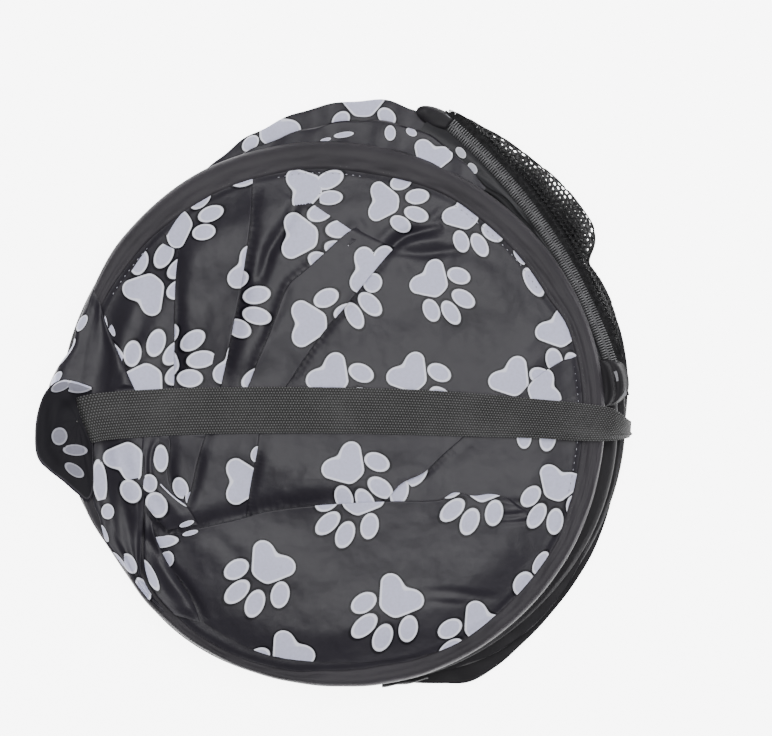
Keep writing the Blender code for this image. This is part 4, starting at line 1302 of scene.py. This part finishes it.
def strap():
    """Ribbed elastic, folded down into the sleeve's mouth on the left and pinched on the right."""
    line = curve(STRAP_PATH[::-1], 340)
    x, y, z, width, tilt, yaw = line.T
    tilt, yaw = np.radians(tilt), np.radians(yaw)
    across = np.linspace(-1, 1, 27)
    rows, cols = len(line), len(across)
    pinch = smooth((x - 55.0) / 60.0)
    top, low = [], []
    for t in across:
        thick = 0.5 + 0.07 * abs(math.sin(t * 9 * math.pi)) - (0.18 if abs(t) > 0.93 else 0.0)
        bend = pinch * (0.9 * np.exp(-((t + 0.62) / 0.16) ** 2) - 0.5 * np.exp(-((t + 0.9) / 0.12) ** 2))
        for store, side in ((top, 1), (low, -1)):
            up = bend + side * thick
            store.append(np.stack([x + up * np.sin(tilt) - np.sin(yaw) * t * width / 2,
                                   y + np.cos(yaw) * t * width / 2, z + up * np.cos(tilt)], axis=1))
    grid = np.stack(top + low[::-1], axis=1)
    faces = grid_faces(rows, 2 * cols, wrap_cols=True)
    walked = np.concatenate([[0], np.cumsum(np.linalg.norm(np.diff(line[:, :3], axis=0), axis=1))])
    v = 12.5 * np.concatenate([across, across[::-1], [across[0]]])
    uv = cloth_uv(rows, 2 * cols, walked, v, wrap_cols=True)
    caps = [list(range(2 * cols))[::-1], [(rows - 1) * 2 * cols + k for k in range(2 * cols)]]
    uv = np.vstack([uv, np.zeros((4 * cols, 2))])
    obj = mesh_object("storage_strap", grid.reshape(-1, 3), faces.tolist() + caps, WEBBING, {"cloth": uv})
    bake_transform(obj)
    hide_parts("elastic_strap", "strap_anchor")


def binding_tail():
    """A loose end of binding that sticks out under the hoops at the bottom of the picture."""
    theta = np.radians(np.linspace(-85.0, -75.0, 40))
    section = [(148.6, 14.0), (150.6, 14.2), (151.9, 12.4), (152.3, 10.0), (151.8, 8.6), (149.6, 8.9)]
    rows = []
    for k, (r, z) in enumerate(section):
        rows.append(polar(CENTRES[1], r + 0.35 * np.sin(theta * 60 + k), theta, z))
    grid = np.stack(rows, axis=1)
    obj = grid_object("binding_end", grid, DARK, {"cloth": strip_uv(grid, 27, 9)})
    describe(obj, "hoop_2", "casing_fabric", "binding_tail",
             flat=(0.010, 0.0265), held="laid", rests_on=["casing_2"])


def recolour(node, mat):
    node.data.materials.clear()
    node.data.materials.append(mat)


def hardware():
    """The CAD parts that stay in sight, with a better finish."""
    nodes = frame["nodes"]
    for name in ("zipper_slider", "zipper_pull", "zipper_stop_lower", "zipper_stop_upper"):
        recolour(nodes[name], BLACK)
        bevel = nodes[name].modifiers.new("soft edges", "BEVEL")
        bevel.width = 0.00018
        bevel.segments = 2
    for k in range(1, 6):
        recolour(nodes[f"wire_ferrule_{k}"], STEEL)


# ---------------------------------------------------------------- studio

# In metres. The camera looks straight down, and its frame is VIEW_WIDTH across at VIEW_DEPTH below it.
# A light is (name, place, size, watts), and points at the stack's middle.
FLOOR_HALF, FLOOR_Z, FLOOR_GLOW = 30.0, -0.0002, 6.5
CAMERA_AT = (0.0283, 0.01485, 1.34)
SENSOR_MM, VIEW_DEPTH, VIEW_WIDTH = 36.0, 1.3, 0.4246
LIGHTS = (("overhead", (0.10, 0.18, 1.75), 1.1, 43.0), ("key", (1.1, 1.2, 1.5), 1.3, 8.0))
WHITE = (1, 1, 1, 1)


def floor():
    corners = [(x * FLOOR_HALF, y * FLOOR_HALF, FLOOR_Z) for x, y in ((-1, -1), (1, -1), (1, 1), (-1, 1))]
    mesh = bpy.data.meshes.new("floor")
    mesh.from_pydata(corners, [], [(0, 1, 2, 3)])
    n = Nodes("floor")
    mesh.materials.append(n.finish((0.90, 0.90, 0.90), 0.9, ior_level=0.1))
    n.shader.inputs["Emission Color"].default_value = WHITE
    n.shader.inputs["Emission Strength"].default_value = FLOOR_GLOW
    obj = bpy.data.objects.new("floor", mesh)
    bpy.context.scene.collection.objects.link(obj)


def studio():
    """A plain pale floor, soft light from above, and the photograph's camera."""
    scene = bpy.context.scene
    floor()
    world = bpy.data.worlds.new("studio")
    world.use_nodes = True
    background = world.node_tree.nodes["Background"]
    background.inputs[0].default_value = WHITE
    background.inputs[1].default_value = 0.18
    scene.world = world
    for name, place, size, power in LIGHTS:
        lamp = bpy.data.lights.new(name, "AREA")
        lamp.energy = power
        lamp.size = size
        obj = bpy.data.objects.new(name, lamp)
        obj.location = place
        obj.rotation_mode = "QUATERNION"
        obj.rotation_quaternion = (-Vector(place)).to_track_quat("-Z", "Y")
        scene.collection.objects.link(obj)
    cam = bpy.data.cameras.new("camera")
    cam.sensor_width = SENSOR_MM
    cam.lens = SENSOR_MM * VIEW_DEPTH / VIEW_WIDTH
    obj = bpy.data.objects.new("camera", cam)
    obj.location = CAMERA_AT
    scene.collection.objects.link(obj)
    scene.camera = obj


def main():
    for index in range(5):
        casing(index)
        wire(index)
        casing_stitches(index)
    for index in range(4):
        bay_wall(index)
    gathered_sleeve()
    sleeve_mouth()
    bottom_sleeve()
    bulges()
    net_lining()
    net_window()
    for make in (tape, coil):
        for side, where in ((-1, "inner"), (1, "outer")):
            name = f"{make.__name__}_{where}"
            make(name, side, f"zipper_{name}")
    facing()
    seam_allowance()
    slider_hood()
    zipper_end_tab()
    sleeve_stitches()
    strap()
    binding_tail()
    hardware()
    studio()


main()
